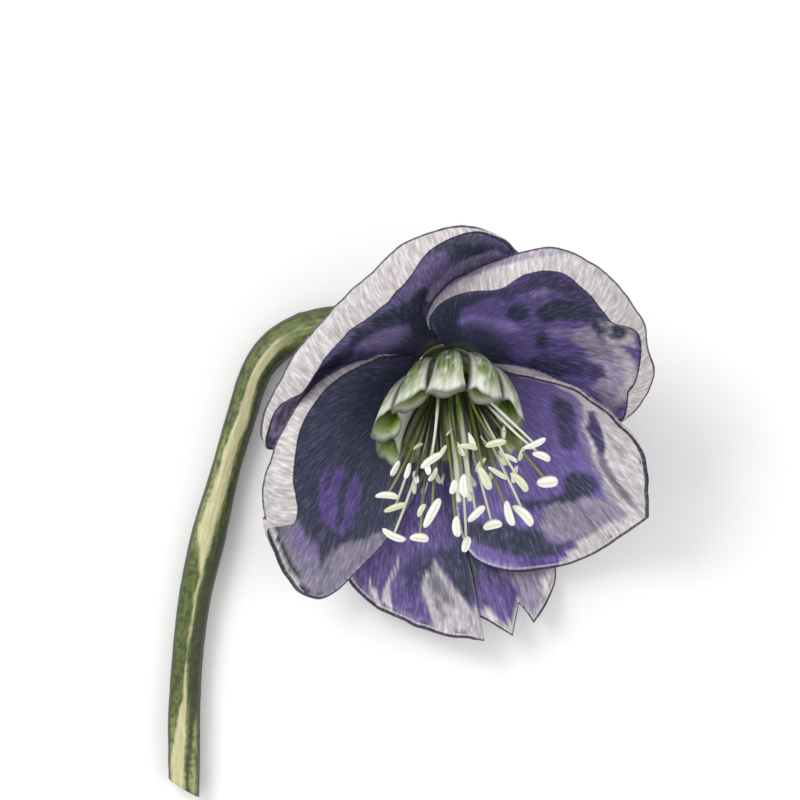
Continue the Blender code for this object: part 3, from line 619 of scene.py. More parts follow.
def make_piece(name, points, faces, tints, fan, finish, node):
    """An object from points in millimetres, with a colour and a fan place for each"""
    mesh = bpy.data.meshes.new(name)
    points = np.asarray(points, float) * MM
    mesh.from_pydata(points.tolist(), [], faces)
    attribute = mesh.color_attributes.new("tint", "FLOAT_COLOR", "POINT")
    values = np.ones((len(points), 4), np.float32)
    values[:, :3] = np.clip(tints, 0, 1)
    attribute.data.foreach_set("color", values.ravel())
    attribute = mesh.attributes.new("fan", "FLOAT_VECTOR", "POINT")
    attribute.data.foreach_set("vector", np.asarray(fan, np.float32).ravel())
    mesh.materials.append(finish)
    mesh.shade_smooth()
    thing = bpy.data.objects.new(name, mesh)
    bpy.context.scene.collection.objects.link(thing)
    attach(thing, "root")
    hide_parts(node)


def make_sepal(name, sepal):
    """A closed sepal: its two faces, joined along their border"""
    form = shape_sepal(sepal)
    wide, deep = form["down"].shape
    count = wide * deep
    index = np.arange(count).reshape(wide, deep)
    a, b, c, d = index[:-1, :-1], index[:-1, 1:], index[1:, 1:], index[1:, :-1]
    inner = np.stack((a, b, c, d), axis=-1).reshape(-1, 4)
    border = np.array([*index[0], *index[1:, -1], *index[-1, -2::-1], *index[-2:0:-1, 0]])
    after = np.roll(border, -1)
    strip = np.stack((after, border, border + count, after + count), axis=-1)
    faces = np.concatenate((inner, inner[:, ::-1] + count, strip)).tolist()
    points = np.concatenate((form["inner"].reshape(-1, 3), form["outer"].reshape(-1, 3)))
    paints = (paint(name, sepal, form).reshape(-1, 3) for paint in (paint_inner, paint_outer))
    tints = np.concatenate(list(paints))
    if name == "sepal_lower":
        upturned = smoothstep(0.0, 0.3, -form["normals"][..., 2:].reshape(-1, 1))
        tints[count:] += (tints[:count] - tints[count:]) * upturned
    fan = np.stack(np.broadcast_arrays(form["share"] * 100, form["down"], 0.0), axis=-1)
    fan = np.tile(fan.reshape(-1, 3), (2, 1))
    make_piece(name + "_bloom", points, faces, tints, fan, PETAL, name)


# The stem's middle line and radius, from the cut end to the back of the bloom
STEM_ROUTE = (
    (-37.7, -46.1, 2.8, 2.6),
    (-37.7, -40.0, 2.8, 2.7),
    (-37.7, -33.9, 2.8, 2.7),
    (-37.1, -23.7, 2.8, 2.6),
    (-35.8, -13.5, 2.9, 2.7),
    (-33.5, -3.4, 3.0, 2.9),
    (-30.9, 6.8, 2.7, 2.4),
    (-27.9, 17.0, 2.8, 2.5),
    (-25.5, 24.2, 2.9, 2.6),
    (-22.1, 28.6, 3.0, 2.9),
    (-16.4, 31.7, 3.0, 2.9),
    (-8.8, 32.9, 2.8, 2.7),
    (-1.6, 32.6, 3.0, 2.6),
    (3.2, 30.8, 4.6, 2.7),
)
STEM_STEP = 0.5
KNUCKLE_PLACE = 83.0
STEM_SIDES = 56
CUT_SLOPE = -0.6
CUT_ROUGHNESS = 0.03
# The neck between stem and receptacle, each point a height on the flower axis and a radius
NECK = ((-5.6, 3.3), (-4.7, 3.3))
BALL_HEIGHTS = (-3.4, -2.6, -1.3, 0.0, 1.6, 3.0, 4.0, 4.6)

# Stem colours: the cream and tan paint a highlight, the dark one paints shade and the flecks, and
# the pale one is both the pale green and a painted highlight
STEM_HIGHLIGHT_CREAM = colour(204, 200, 156)
STEM_HIGHLIGHT_TAN = colour(204, 190, 150)
STEM_GREEN = colour(94, 108, 52)
STEM_OLIVE = colour(72, 82, 40)
STEM_SHADE_AND_FLECK_DARK = colour(42, 48, 30)
STEM_PALE_AND_HIGHLIGHT = colour(162, 174, 112)
PITH = colour(214, 216, 176)
# The cut face from its middle outwards: the share of the radius, the depth and the colour
CUT_RINGS = (
    (0.05, 0.16, PITH),
    (0.4, 0.2, PITH),
    (0.74, 0.14, PITH),
    (0.86, 0.0, STEM_GREEN),
    (0.97, -0.06, STEM_PALE_AND_HIGHLIGHT),
)
# Along the stem: the y of the place, then how far across the width, from -1 at
# its left to 1 at its right, the cream band of painted highlight and the dark
# right flank of painted shade begin and end, and how green the left flank is
STEM_BANDS = (
    (-48.0, -0.84, 0.10, 0.16, 0.50, 0.0),
    (-42.0, -0.84, 0.12, 0.18, 0.50, 0.1),
    (-36.0, -0.55, 0.20, 0.26, 0.62, 0.5),
    (-31.0, -0.12, 0.28, 0.34, 1.0, 1.0),
    (-25.0, -0.06, 0.14, 0.2, 1.0, 1.0),
    (-19.0, -0.08, 0.12, 0.18, 1.0, 1.0),
    (-10.0, 0.0, 0.24, 0.3, 1.0, 1.0),
    (-6.0, -0.3, 0.3, 0.36, 1.0, 0.7),
    (-3.0, -0.66, 0.32, 0.4, 1.0, 0.4),
    (3.0, -0.62, 0.44, 0.5, 1.0, 0.3),
    (9.0, -0.48, 0.46, 0.52, 1.0, 0.4),
    (16.0, -0.34, 0.55, 0.62, 1.0, 0.7),
    (22.0, -0.2, 0.42, 0.52, 1.0, 0.9),
)


def tube_rings(route, radii, sides):
    """Round rings along a route, without twist"""
    route = np.asarray(route, float)
    turns = round_angles(sides)[:, None]
    side = np.array((0.0, 0.0, 1.0))
    rings = []
    for spot, heading, radius in zip(route, normalised(past_each(route)), radii):
        side = side - heading * (side @ heading)
        side = side / np.linalg.norm(side)
        ring = np.cos(turns) * side + np.sin(turns) * np.cross(heading, side)
        rings.append(spot + ring * np.reshape(radius, (-1, 1)))
    return np.array(rings)


def ring_faces(count, sides, start, capped):
    """The faces that join rings in order, with or without a face at each end"""
    index = start + np.arange(count * sides).reshape(count, sides)
    near = np.roll(index, -1, axis=1)
    faces = np.stack((index[:-1], near[:-1], near[1:], index[1:]), axis=-1).reshape(-1, 4).tolist()
    if capped:
        faces += [index[0, ::-1].tolist(), index[-1].tolist()]
    return faces


class Builder:
    """Gathers several closed shapes in one piece"""

    def __init__(self):
        self.points, self.tints, self.fan, self.faces = [], [], [], []
        self.count = 0

    def add(self, rings, tints, fan=None, capped=True):
        count, sides = rings.shape[:2]
        self.faces += ring_faces(count, sides, self.count, capped)
        if fan is None:
            turn, run = np.arange(sides) / sides, np.arange(count) / count
            fan = np.stack(np.broadcast_arrays(turn[None] * 8, run[:, None] * 8, 0), axis=-1)
        self.points.append(rings.reshape(-1, 3))
        self.tints.append(np.broadcast_to(tints, rings.shape).reshape(-1, 3))
        self.fan.append(fan.reshape(-1, 3))
        self.count += count * sides

    def finish(self, name, finish, node, slot_name):
        points, tints, fan = map(np.concatenate, (self.points, self.tints, self.fan))
        make_piece(name, points, self.faces, tints, fan, finish, node)


def stem_route():
    """The stem's middle line and radius, on through its neck into the receptacle"""
    route = smooth_curve(STEM_ROUTE, STEM_STEP)[1]
    inner = [(*route[-1, :3], route[-1, 3])]
    for height, radius in NECK:
        inner.append((*(RECEPTACLE + FLOWER_AXIS * height), radius))
    for height in BALL_HEIGHTS:
        radius = math.sqrt(RECEPTACLE_RADIUS**2 - height**2)
        inner.append((*(RECEPTACLE + FLOWER_AXIS * height), radius))
    return np.concatenate((route, smooth_curve(inner, STEM_STEP)[1][1:]))


def paint_stem(rings, route, radii, travel, turn):
    """Lengthwise bands of painted highlight and painted shade, laid where the stem
    is seen from above, with flecks and streaks
    """
    heading = np.gradient(route, axis=0)
    right = normalised(np.stack((heading[:, 1], -heading[:, 0]), axis=1))
    offset = rings[..., :2] - route[:, None, :2]
    # From -1 at the left of each ring as it is looked down on to 1 at its right
    lean = np.einsum("ijk,ik->ij", offset, right) / radii[:, None]
    above = smoothstep(-0.35, 0.15, rings[..., 2] - route[:, None, 2])
    table = np.array(STEM_BANDS)
    columns = [np.interp(route[:, 1], table[:, 0], table[:, k])[:, None] for k in range(1, 6)]
    start, stop, shade_start, shade_stop, green = columns
    past_bend = smoothstep(KNUCKLE_PLACE - 7, KNUCKLE_PLACE, travel)[:, None]
    streak = wander(turn[None] * 14, travel[:, None] / 2.2, 7)
    streak = streak + 0.6 * wander(turn[None] * 30, travel[:, None] / 1.1, 8)
    across = lean + 0.05 * wander(0, travel[:, None] / 3, 9) + 0.035 * streak
    left = blend(STEM_PALE_AND_HIGHLIGHT, STEM_GREEN, green)
    left_share = smoothstep(-0.92, -0.8, across) * (0.75 + 0.2 * streak)
    tint = blend(STEM_OLIVE, left, left_share)
    # The cream band is a painted highlight along the top of the stem
    cream = band(start, stop, 0.1, across)
    warm = smoothstep(0.0, 1.0, wander(0, travel / 11, 12))[:, None]
    highlight_share = cream * (0.92 + 0.06 * streak) * (1 - past_bend)
    tint = blend(tint, blend(STEM_HIGHLIGHT_CREAM, STEM_HIGHLIGHT_TAN, warm), highlight_share)
    # The dark right flank is painted shade
    dark = band(shade_start, shade_stop, 0.08, across)
    tint = blend(tint, STEM_SHADE_AND_FLECK_DARK, dark * (0.7 + 0.25 * streak) * (1 - 0.8 * past_bend))
    right_pale = smoothstep(0.0, 0.08, across - shade_stop) * smoothstep(0.86, 0.78, across)
    tint = blend(tint, STEM_PALE_AND_HIGHLIGHT, right_pale * 0.8)
    # Both sides, as they are seen from above, get a dark edge of painted shade
    edge = smoothstep(0.74, 0.9, np.abs(lean) + 0.06 * streak)
    tint = blend(tint, STEM_SHADE_AND_FLECK_DARK, edge * 0.85)
    # Short dark flecks across the flanks
    fleck = wander(turn[None] * 5, travel[:, None] / 0.42, 21)
    fleck = fleck + 0.3 * wander(turn[None] * 9, travel[:, None] / 2, 22)
    fleck = smoothstep(0.0, 0.45, fleck)
    flank = 1 - cream * (1 - past_bend)
    tint = blend(tint, STEM_SHADE_AND_FLECK_DARK, fleck * flank * 0.65)
    # A painted highlight along the top of the knuckle past the bend
    bend_light = smoothstep(0.6, 0.1, np.abs(across - 0.15)) * past_bend
    tint = blend(tint, STEM_PALE_AND_HIGHLIGHT, bend_light * (0.5 + 0.35 * streak))
    # Underneath, out of sight from above, streaked olive green takes the place of the painted
    # highlight and shade
    tint = blend(blend(STEM_OLIVE, STEM_GREEN, 0.5 + 0.3 * streak), tint, above)
    tint = tint * (1 + 0.1 * streak)[..., None]
    near_bloom = smoothstep(travel[-1] - 26, travel[-1] - 12, travel)[:, None]
    return blend(tint, STEM_GREEN * (1 - 0.6 * fleck)[..., None], near_bloom * 0.6)


def make_stem():
    """The ribbed stem, its slanting cut with the pith, and the receptacle"""
    spots = stem_route()
    route, radii = spots[:, :3], spots[:, 3]
    travel, turn = travelled(route), round_angles(STEM_SIDES)
    on_stem = smoothstep(travel[-1] - 9, travel[-1] - 18, travel)[:, None]
    ribs = 0.022 * np.cos(turn * 7 + 0.5 * np.sin(travel / 9)[:, None])
    ribs = ribs + 0.012 * np.cos(turn * 13 - travel[:, None] / 14)
    ribs = ribs + 0.01 * wander(turn * 4, travel[:, None] / 1.5, 3)
    # The knuckle at the bend has a low ring round it
    knuckle = np.exp(-(((travel - KNUCKLE_PLACE) / 0.7) ** 2))[:, None]
    radius = radii[:, None] * (1 + ribs * on_stem + 0.05 * knuckle)
    rings = tube_rings(route, radius, STEM_SIDES)
    rings[..., 2] = np.maximum(rings[..., 2], 0.0)
    tint = paint_stem(rings, route, radii, travel, turn)
    # The cut face slants, and its pith lies a little deeper than the rim
    cut, cut_tints = [], []
    centre = route[0]
    for share, depth, shade in CUT_RINGS:
        ring = centre + (rings[0] - centre) * share
        ring[:, 1] += depth
        ring += np.array((0, CUT_ROUGHNESS, 0)) * wander(turn * 6, share * 9, 5)[:, None]
        cut.append(ring)
        cut_tints.append(np.tile(shade, (STEM_SIDES, 1)))
    rings = np.concatenate((cut, rings))
    tint = np.concatenate((cut_tints, tint))
    lowered = np.concatenate((np.zeros(len(cut)), travel))
    slope = CUT_SLOPE * (rings[..., 0] - centre[0])
    rings[..., 1] += slope * smoothstep(5.0, 0.5, lowered)[:, None]
    fan = np.broadcast_arrays(turn[None] * 16 / (2 * math.pi), lowered[:, None], 0.0)
    stem = Builder()
    stem.add(rings, tint, np.stack(fan, axis=-1))
    stem.finish("stem_green", STEM_SKIN, "stem", "stem")


# The ring that the nectaries grow from, each point a radius and a height
NECTARY_RING = (
    (3.6, 3.65), (4.3, 2.85), (4.75, 2.05), (5.6, 2.5), (5.4, 3.5), (4.6, 4.5), (3.6, 4.9),
)
NECTARY_COUNT = 11
NECTARY_PHASE = 0.82
NECTARY_LENGTH = 13.5
NECTARY_SHORTER = 0.42
NECTARY_ROOT_RADIUS = 0.95
NECTARY_ROOT_REACH = 4.5
NECTARY_ROOT_HEIGHT = 3.3
NECTARY_MOUTH_RADIUS = 3.0
NECTARY_FLATNESS = 0.64
NECTARY_WALL = 0.32
NECTARY_SIDES = 40
NECTARY_INSIDE = (0.99, 0.96, 0.92, 0.86, 0.78, 0.7, 0.6, 0.5)
NECTARY_SPREAD = 0.84
NECTARY_LOW_SPREAD = 0.6
NECTARY_HANG = np.array((-0.1, -1.04, 0.16))
NECTARY_FAN = 0.15
NECTARY_LIFT = 0.15
OUTER_LIP = 1.7
INNER_LIP = 1.5
LIP_CORNER = 1.1
NECTARY_GREEN = colour(132, 156, 52)
NECTARY_DEEP = colour(92, 118, 44)
NECTARY_WHITE = colour(244, 245, 232)
NECTARY_SHADED_OLIVE = colour(124, 132, 66)
NECTARY_LINE = colour(52, 62, 38)


def turned_rings(section, sides):
    """A closed section turned round the flower axis, as rings round the axis"""
    return np.array([flower_point(r, round_angles(sides), height) for r, height in section])


def add_ring(builder, section, sides, shade):
    """A ring on the receptacle, with the section's first point repeated to close it"""
    rings = turned_rings((*section, section[0]), sides)
    builder.add(rings, shade, capped=False)


def nectary_folds(turns, t, wall, seed):
    """The radius and the lip of a trumpet round one ring, t of the way up it"""
    near_mouth = max(0.0, (t - 0.8) / 0.2)
    folds = 1 + 0.07 * t * np.cos(turns * 5 + seed)
    folds = folds + 0.10 * near_mouth * wander(turns * 1.6, 0.3, seed)
    widening = (NECTARY_MOUTH_RADIUS - NECTARY_ROOT_RADIUS) * t**0.8
    rolled = 0.45 * near_mouth**2
    radius = (NECTARY_ROOT_RADIUS + widening - wall + rolled) * folds
    lip = OUTER_LIP * np.maximum(0.0, np.cos(turns)) ** 2
    lip = lip + INNER_LIP * np.maximum(0.0, -np.cos(turns)) ** 2
    lip = lip + LIP_CORNER * np.abs(np.sin(turns)) ** 9
    lip = lip + 0.35 * wander(turns * 2.4, 0.7, seed + 3)
    return radius, lip * near_mouth - 0.3 * rolled


def nectary_tint(turns, t, inside, seed, low):
    """A green stripe down the outer face, pale margins, dark flanks, painted shade when low"""
    streak = wander(turns * 6, t * 3, seed + 5) + 0.5 * wander(turns * 13, t * 5, seed)
    off_middle = np.minimum(turns, 2 * math.pi - turns)
    stripe = np.exp(-((off_middle / 1.05) ** 4)) * (0.9 + 0.35 * streak)
    fleck = wander(turns * 7, t * 22, seed + 9)
    fading = smoothstep(1.02, 0.8, t + 0.12 * streak) * smoothstep(-0.9, -0.1, fleck)
    tint = blend(NECTARY_WHITE, NECTARY_GREEN, np.clip(stripe * fading, 0, 1))
    tint = blend(tint, NECTARY_DEEP, np.clip(stripe * fading * streak, 0, 0.6))
    # The lower trumpets are painted darker olive: painted shade for the shade they sit in
    if low:
        tint = blend(tint, NECTARY_SHADED_OLIVE, 0.85)
    tint = blend(tint, NECTARY_GREEN, smoothstep(0.3, 0.05, t))
    if inside:
        tint = blend(tint, NECTARY_GREEN, smoothstep(0.99, 0.9, t))
        tint = blend(tint, NECTARY_DEEP, smoothstep(0.94, 0.8, t))
    else:
        flank = smoothstep(0.92, 0.985, np.abs(np.sin(turns))) * 0.85
        tint = blend(tint, NECTARY_LINE, flank * smoothstep(0.15, 0.3, t))
    return blend(tint, NECTARY_LINE, 0.8 * smoothstep(0.94 if inside else 0.965, 0.985, t))


def make_nectaries():
    """Trumpets with a thin wall, rolled lips and a frilled mouth"""
    piece = Builder()
    add_ring(piece, NECTARY_RING, 72, NECTARY_GREEN)
    draw = random.Random(11)
    turns = round_angles(NECTARY_SIDES)
    stations = [(i / 22, 0) for i in range(23)] + [(t, NECTARY_WALL) for t in NECTARY_INSIDE]
    for k in range(NECTARY_COUNT):
        angle = 2 * math.pi * (k + NECTARY_PHASE) / NECTARY_COUNT
        spoke = spoke_at(angle)
        across = np.cross(FLOWER_AXIS, spoke)
        height = math.sin(angle)
        length = NECTARY_LENGTH * (1 - NECTARY_SHORTER * max(0.0, -height))
        length *= draw.uniform(0.95, 1.05)
        root = flower_point(NECTARY_ROOT_REACH, angle, NECTARY_ROOT_HEIGHT)
        spread = NECTARY_SPREAD + (NECTARY_LOW_SPREAD - NECTARY_SPREAD) * max(0.0, -height)
        leave = spoke * spread + FLOWER_AXIS * math.sqrt(1 - spread**2)
        arrive = NECTARY_HANG + np.array((math.cos(angle) * NECTARY_FAN, 0, height * NECTARY_LIFT))
        seed = draw.uniform(0, 50)
        rings, tints = [], []
        for t, wall in stations:
            middle = root + (leave * (2 * t - t * t) + arrive * t * t) * (length / 2)
            heading = normalised(leave * (1 - t) + arrive * t)
            outward = normalised(np.cross(across, heading))
            flat = outward * (np.cos(turns) * NECTARY_FLATNESS)[:, None]
            flat = flat + across * np.sin(turns)[:, None]
            radius, lip = nectary_folds(turns, t, wall, seed)
            rings.append(middle + flat * radius[:, None] + heading * lip[:, None])
            tints.append(nectary_tint(turns, t, wall > 0, seed, height < -0.3))
        piece.add(np.array(rings), np.array(tints))
    piece.finish("nectaries_green", NECTARY_SKIN, "nectaries", "nectary")


# Stamens that show at the front, as they are looked down on: the place of each
# anther, the way it lies in degrees, its length, its width and whether it is greenish
FRONT_ANTHERS = (
    (-3.3, 3.4, -4, 4, 1.4, False),
    (-2, 1.3, 20, 4, 1.3, True),
    (4.1, 9.3, 35, 4.3, 1.5, False),
    (8, 4.7, 72, 2.5, 1.4, False),
    (9.6, 4.9, -86, 4, 1.5, False),
    (10.4, 11.7, -8, 3.5, 1.1, True),
    (15.1, 12.2, 14, 3.6, 1.5, True),
    (21.8, 12, 24, 4.1, 1.3, False),
    (23, 10.1, -22, 3.3, 1.5, False),
    (23.9, 5.6, 8, 3.6, 2.4, False),
    (19.3, 5.7, -48, 4.3, 1.5, True),
    (13.3, 6.2, -64, 4.3, 1.6, True),
    (15.5, 7.1, -32, 4, 1, True),
    (4.3, 0.3, 62, 5.6, 1.7, False),
    (2.4, 0.8, 62, 2.5, 1.1, True),
    (-2.3, -3.6, -26, 4.5, 1.5, False),
    (2.2, -3.8, -6, 3.3, 1.8, False),
    (8.4, -2, -86, 3.6, 1.5, False),
    (10.1, -5, 74, 2.8, 1.6, False),
    (11.8, 0.2, 44, 3.8, 1.5, False),
    (14.5, -1.6, 16, 3.3, 2, False),
    (17.3, 0.2, -74, 4.5, 1.5, False),
    (20, 0.1, -46, 4.8, 1.8, False),
)
# How the middle line of the stamens and styles droops, and the dome that the anthers form
COLUMN_HEIGHT = 25.0
COLUMN_DROOP = np.array((-0.6, -8.8, -4.4))
STAMEN_RING = ((2.45, 4.6), (3.3, 4.0), (3.3, 5.6), (2.45, 5.9))
TIP_CENTRE = np.array((10.4, 2.8, 28.7))
TIP_DOME = 0.36
BACK_STAMENS = 26
ANTHER_CREAM = colour(248, 247, 236)
ANTHER_GREEN = colour(196, 206, 140)
ANTHER_SLIMNESS = 0.9
ANTHER_SIDES = 20
ANTHER_STATIONS = 19
BROAD_ANTHER = 1.16
FILAMENT_RADIUS = 0.27
FILAMENT_TAPER = 0.07
FILAMENT_SIDES = 8
FILAMENT_POINTS = 22
FILAMENT_WHITE = colour(240, 242, 230)
FILAMENT_PALE = colour(214, 220, 186)
FILAMENT_OLIVE = colour(112, 118, 48)
FILAMENT_SHADE_AND_LINE = colour(44, 48, 38)


def column_point(height):
    """The drooping middle line of the stamens and styles"""
    return RECEPTACLE + FLOWER_AXIS * height + COLUMN_DROOP * (height / COLUMN_HEIGHT) ** 2


def under_view(seen, height):
    """Where a point at a height stands, from where it is seen on the surface"""
    return VIEW_CENTRE + (np.array(seen) - VIEW_CENTRE) * (1 - height / VIEW_HEIGHT)


def tip_height(x, y):
    """How high the anthers stand above the surface, on a low dome"""
    dx, dy = x - TIP_CENTRE[0], y - TIP_CENTRE[1]
    slope = (-FLOWER_AXIS[1] * dy - FLOWER_AXIS[0] * dx) / FLOWER_AXIS[2]
    return TIP_CENTRE[2] + slope - TIP_DOME * math.hypot(dx, dy)


def filament(root, tip, bow):
    """A slightly bowed line from the receptacle to the anther"""
    middle = root + (tip - root) * 0.5 + FLOWER_AXIS * 1.6 + bow
    t = np.linspace(0, 1, FILAMENT_POINTS)[:, None]
    return root * (1 - t) ** 2 + middle * (2 * t * (1 - t)) + tip * t**2


def add_anther(piece, middle, heading, length, width, shade, draw):
    """Two long lobes side by side with a groove between them"""
    t = np.linspace(-1, 1, ANTHER_STATIONS)
    bend = draw.uniform(-0.11, 0.11)
    side = normalised(np.cross(heading, FLOWER_AXIS))
    spine = middle + heading * (t * length / 2)[:, None] + side * (bend * t**2 * length)[:, None]
    profile = np.sqrt(np.clip(1 - np.abs(t) ** 2.5, 0.0, 1)) * (1 + 0.12 * t) + 0.03
    turns = round_angles(ANTHER_SIDES)
    groove = 1 - 0.3 * np.exp(-((np.sin(turns) / 0.28) ** 2))
    rings = []
    for spot, size in zip(spine, profile):
        flat = np.cos(turns)[:, None] * FLOWER_AXIS * 0.68 + np.sin(turns)[:, None] * side
        rings.append(spot + flat * (groove * size * width * ANTHER_SLIMNESS / 2)[:, None])
    grain = wander(turns[None] * 3, t[:, None] * 4, draw.uniform(0, 30))
    tints = shade * (1 + 0.06 * grain)[..., None]
    seam = np.exp(-((np.sin(turns) / 0.2) ** 2)) * 0.35
    tints = blend(tints, ANTHER_GREEN * 0.8, seam)
    side_line = smoothstep(0.93, 0.99, np.abs(np.sin(turns))) * 0.6
    tints = blend(tints, FILAMENT_SHADE_AND_LINE, side_line)
    piece.add(np.array(rings), tints)


def make_stamens():
    """The front stamens where they show, and more behind them, each on its filament"""
    filaments, anthers = Builder(), Builder()
    add_ring(filaments, STAMEN_RING, 48, FILAMENT_OLIVE)
    draw = random.Random(7)
    stamens = []
    # Each anther is set so that it is seen at its place from the camera's height
    for x, y, lies, length, width, green in FRONT_ANTHERS:
        z = tip_height(*under_view((x, y), tip_height(x, y)))
        x, y = under_view((x, y), z)
        heading = np.array((math.cos(math.radians(lies)), math.sin(math.radians(lies)), 0.0))
        heading[2] = -0.25 if lies < 0 or lies > 90 else 0.15
        stamens.append((np.array((x, y, z)), normalised(heading), length, width, green))
    # The others are spread evenly behind, turned by the golden angle from one to the next
    golden = math.pi * (3 - math.sqrt(5))
    for k in range(BACK_STAMENS):
        angle = k * golden + 0.7
        spread = 2.6 + 9.0 * math.sqrt((k + 0.5) / BACK_STAMENS)
        tip = column_point(21.5 - spread * 0.3 + draw.uniform(-1.5, 1.2))
        tip = tip + (ACROSS * math.cos(angle) + UPWARD * (0.45 * math.sin(angle))) * spread
        tilt = np.array([draw.uniform(-1, 1) for _ in range(3)])
        heading = normalised(FLOWER_AXIS + COLUMN_DROOP * 0.04 + tilt * 0.8)
        length, width = draw.uniform(2.6, 3.2), draw.uniform(0.9, 1.15)
        stamens.append((tip, heading, length, width, draw.random() < 0.5))
    for tip, heading, length, width, green in stamens:
        offset = tip - column_point(22.0)
        offset = offset - FLOWER_AXIS * (offset @ FLOWER_AXIS)
        angle = math.atan2(offset @ UPWARD, offset @ ACROSS) + draw.uniform(-0.25, 0.25)
        root = flower_point(draw.uniform(2.6, 3.1), angle, 5.0)
        bow = np.array([draw.uniform(-0.9, 0.9), draw.uniform(-0.4, 0.4), 0.0])
        path = filament(root, tip, bow)
        t = np.linspace(0, 1, len(path))[:, None]
        pale = draw.random() < 0.45 and width >= BROAD_ANTHER
        shade = FILAMENT_WHITE if pale else FILAMENT_OLIVE
        # Filaments under narrow anthers, mostly those behind, are painted dark as painted shade in
        # the gaps
        if width < BROAD_ANTHER:
            shade = FILAMENT_SHADE_AND_LINE
        tints = blend(shade, FILAMENT_PALE, smoothstep(0.55, 1.0, t) * (0.8 if pale else 0.25))
        tints = blend(tints, FILAMENT_OLIVE, smoothstep(0.45, 0.0, t))
        radius = FILAMENT_RADIUS - FILAMENT_TAPER * t[:, 0]
        filaments.add(tube_rings(path, radius, FILAMENT_SIDES), tints)
        cream = ANTHER_GREEN * 0.5 + ANTHER_CREAM * 0.5 if green else ANTHER_CREAM
        add_anther(anthers, tip, heading, length, width, cream, draw)
    filaments.finish("stamens_filaments", FILAMENT_SKIN, "stamens", "stamen")
    anthers.finish("stamens_anthers", ANTHER_SKIN, "stamens", "stamen")


# The pods' seat and the pods themselves, each point a height and a radius
CARPEL_SEAT = ((5.12, 1.5), (5.4, 2.0), (6.2, 1.8), (10.0, 0.8))
CARPEL_COUNT = 4
CARPEL_SHAPE = ((5.6, 0.7), (7.0, 1.15), (9.0, 1.3), (11.0, 1.0), (12.6, 0.46),
                (16.0, 0.36), (20.0, 0.33), (22.4, 0.34), (23.0, 0.44), (23.3, 0.3))
CARPEL_SIDES = 24
CARPEL_SPACING = 0.95
CARPEL_SPREAD = 0.02
CARPEL_GREEN = colour(150, 172, 92)
STYLE_PALE = colour(232, 232, 214)


def make_carpels():
    """Pods side by side, each with a seam and drawn out into a pale style"""
    piece = Builder()
    spine = [flower_point(0, 0, height) for height, radius in CARPEL_SEAT]
    piece.add(tube_rings(spine, [radius for height, radius in CARPEL_SEAT], 32), CARPEL_GREEN)
    turns = round_angles(CARPEL_SIDES)
    for k in range(CARPEL_COUNT):
        spoke = spoke_at(2 * math.pi * (k + 0.5) / CARPEL_COUNT)
        points = []
        for height, radius in CARPEL_SHAPE:
            apart = CARPEL_SPACING + CARPEL_SPREAD * (height - CARPEL_SHAPE[0][0])
            points.append((*(column_point(height) + spoke * apart), radius))
        shares, spots = smooth_curve(points, 0.4)
        radius = spots[:, 3:4] * (1 - 0.12 * np.exp(-((np.sin(turns / 2) / 0.12) ** 2))[None])
        rings = tube_rings(spots[:, :3], radius, CARPEL_SIDES)
        pale = smoothstep(0.25, 0.5, shares)[:, None]
        piece.add(rings, blend(CARPEL_GREEN, STYLE_PALE, pale))
    piece.finish("carpels_pods", CARPEL_SKIN, "carpels", "carpel")


def set_inputs(made, **settings):
    """Values for a node's inputs, with _ where the input's name has a space"""
    for key, value in settings.items():
        made.inputs[key.replace("_", " ")].default_value = value


def node(tree, kind, x, y, **settings):
    """A node at a place, with settings of its own or of its inputs"""
    made = tree.nodes.new("ShaderNode" + kind)
    made.location = (x, y)
    for key, value in settings.items():
        if hasattr(made, key):
            setattr(made, key, value)
        else:
            set_inputs(made, **{key: value})
    return made


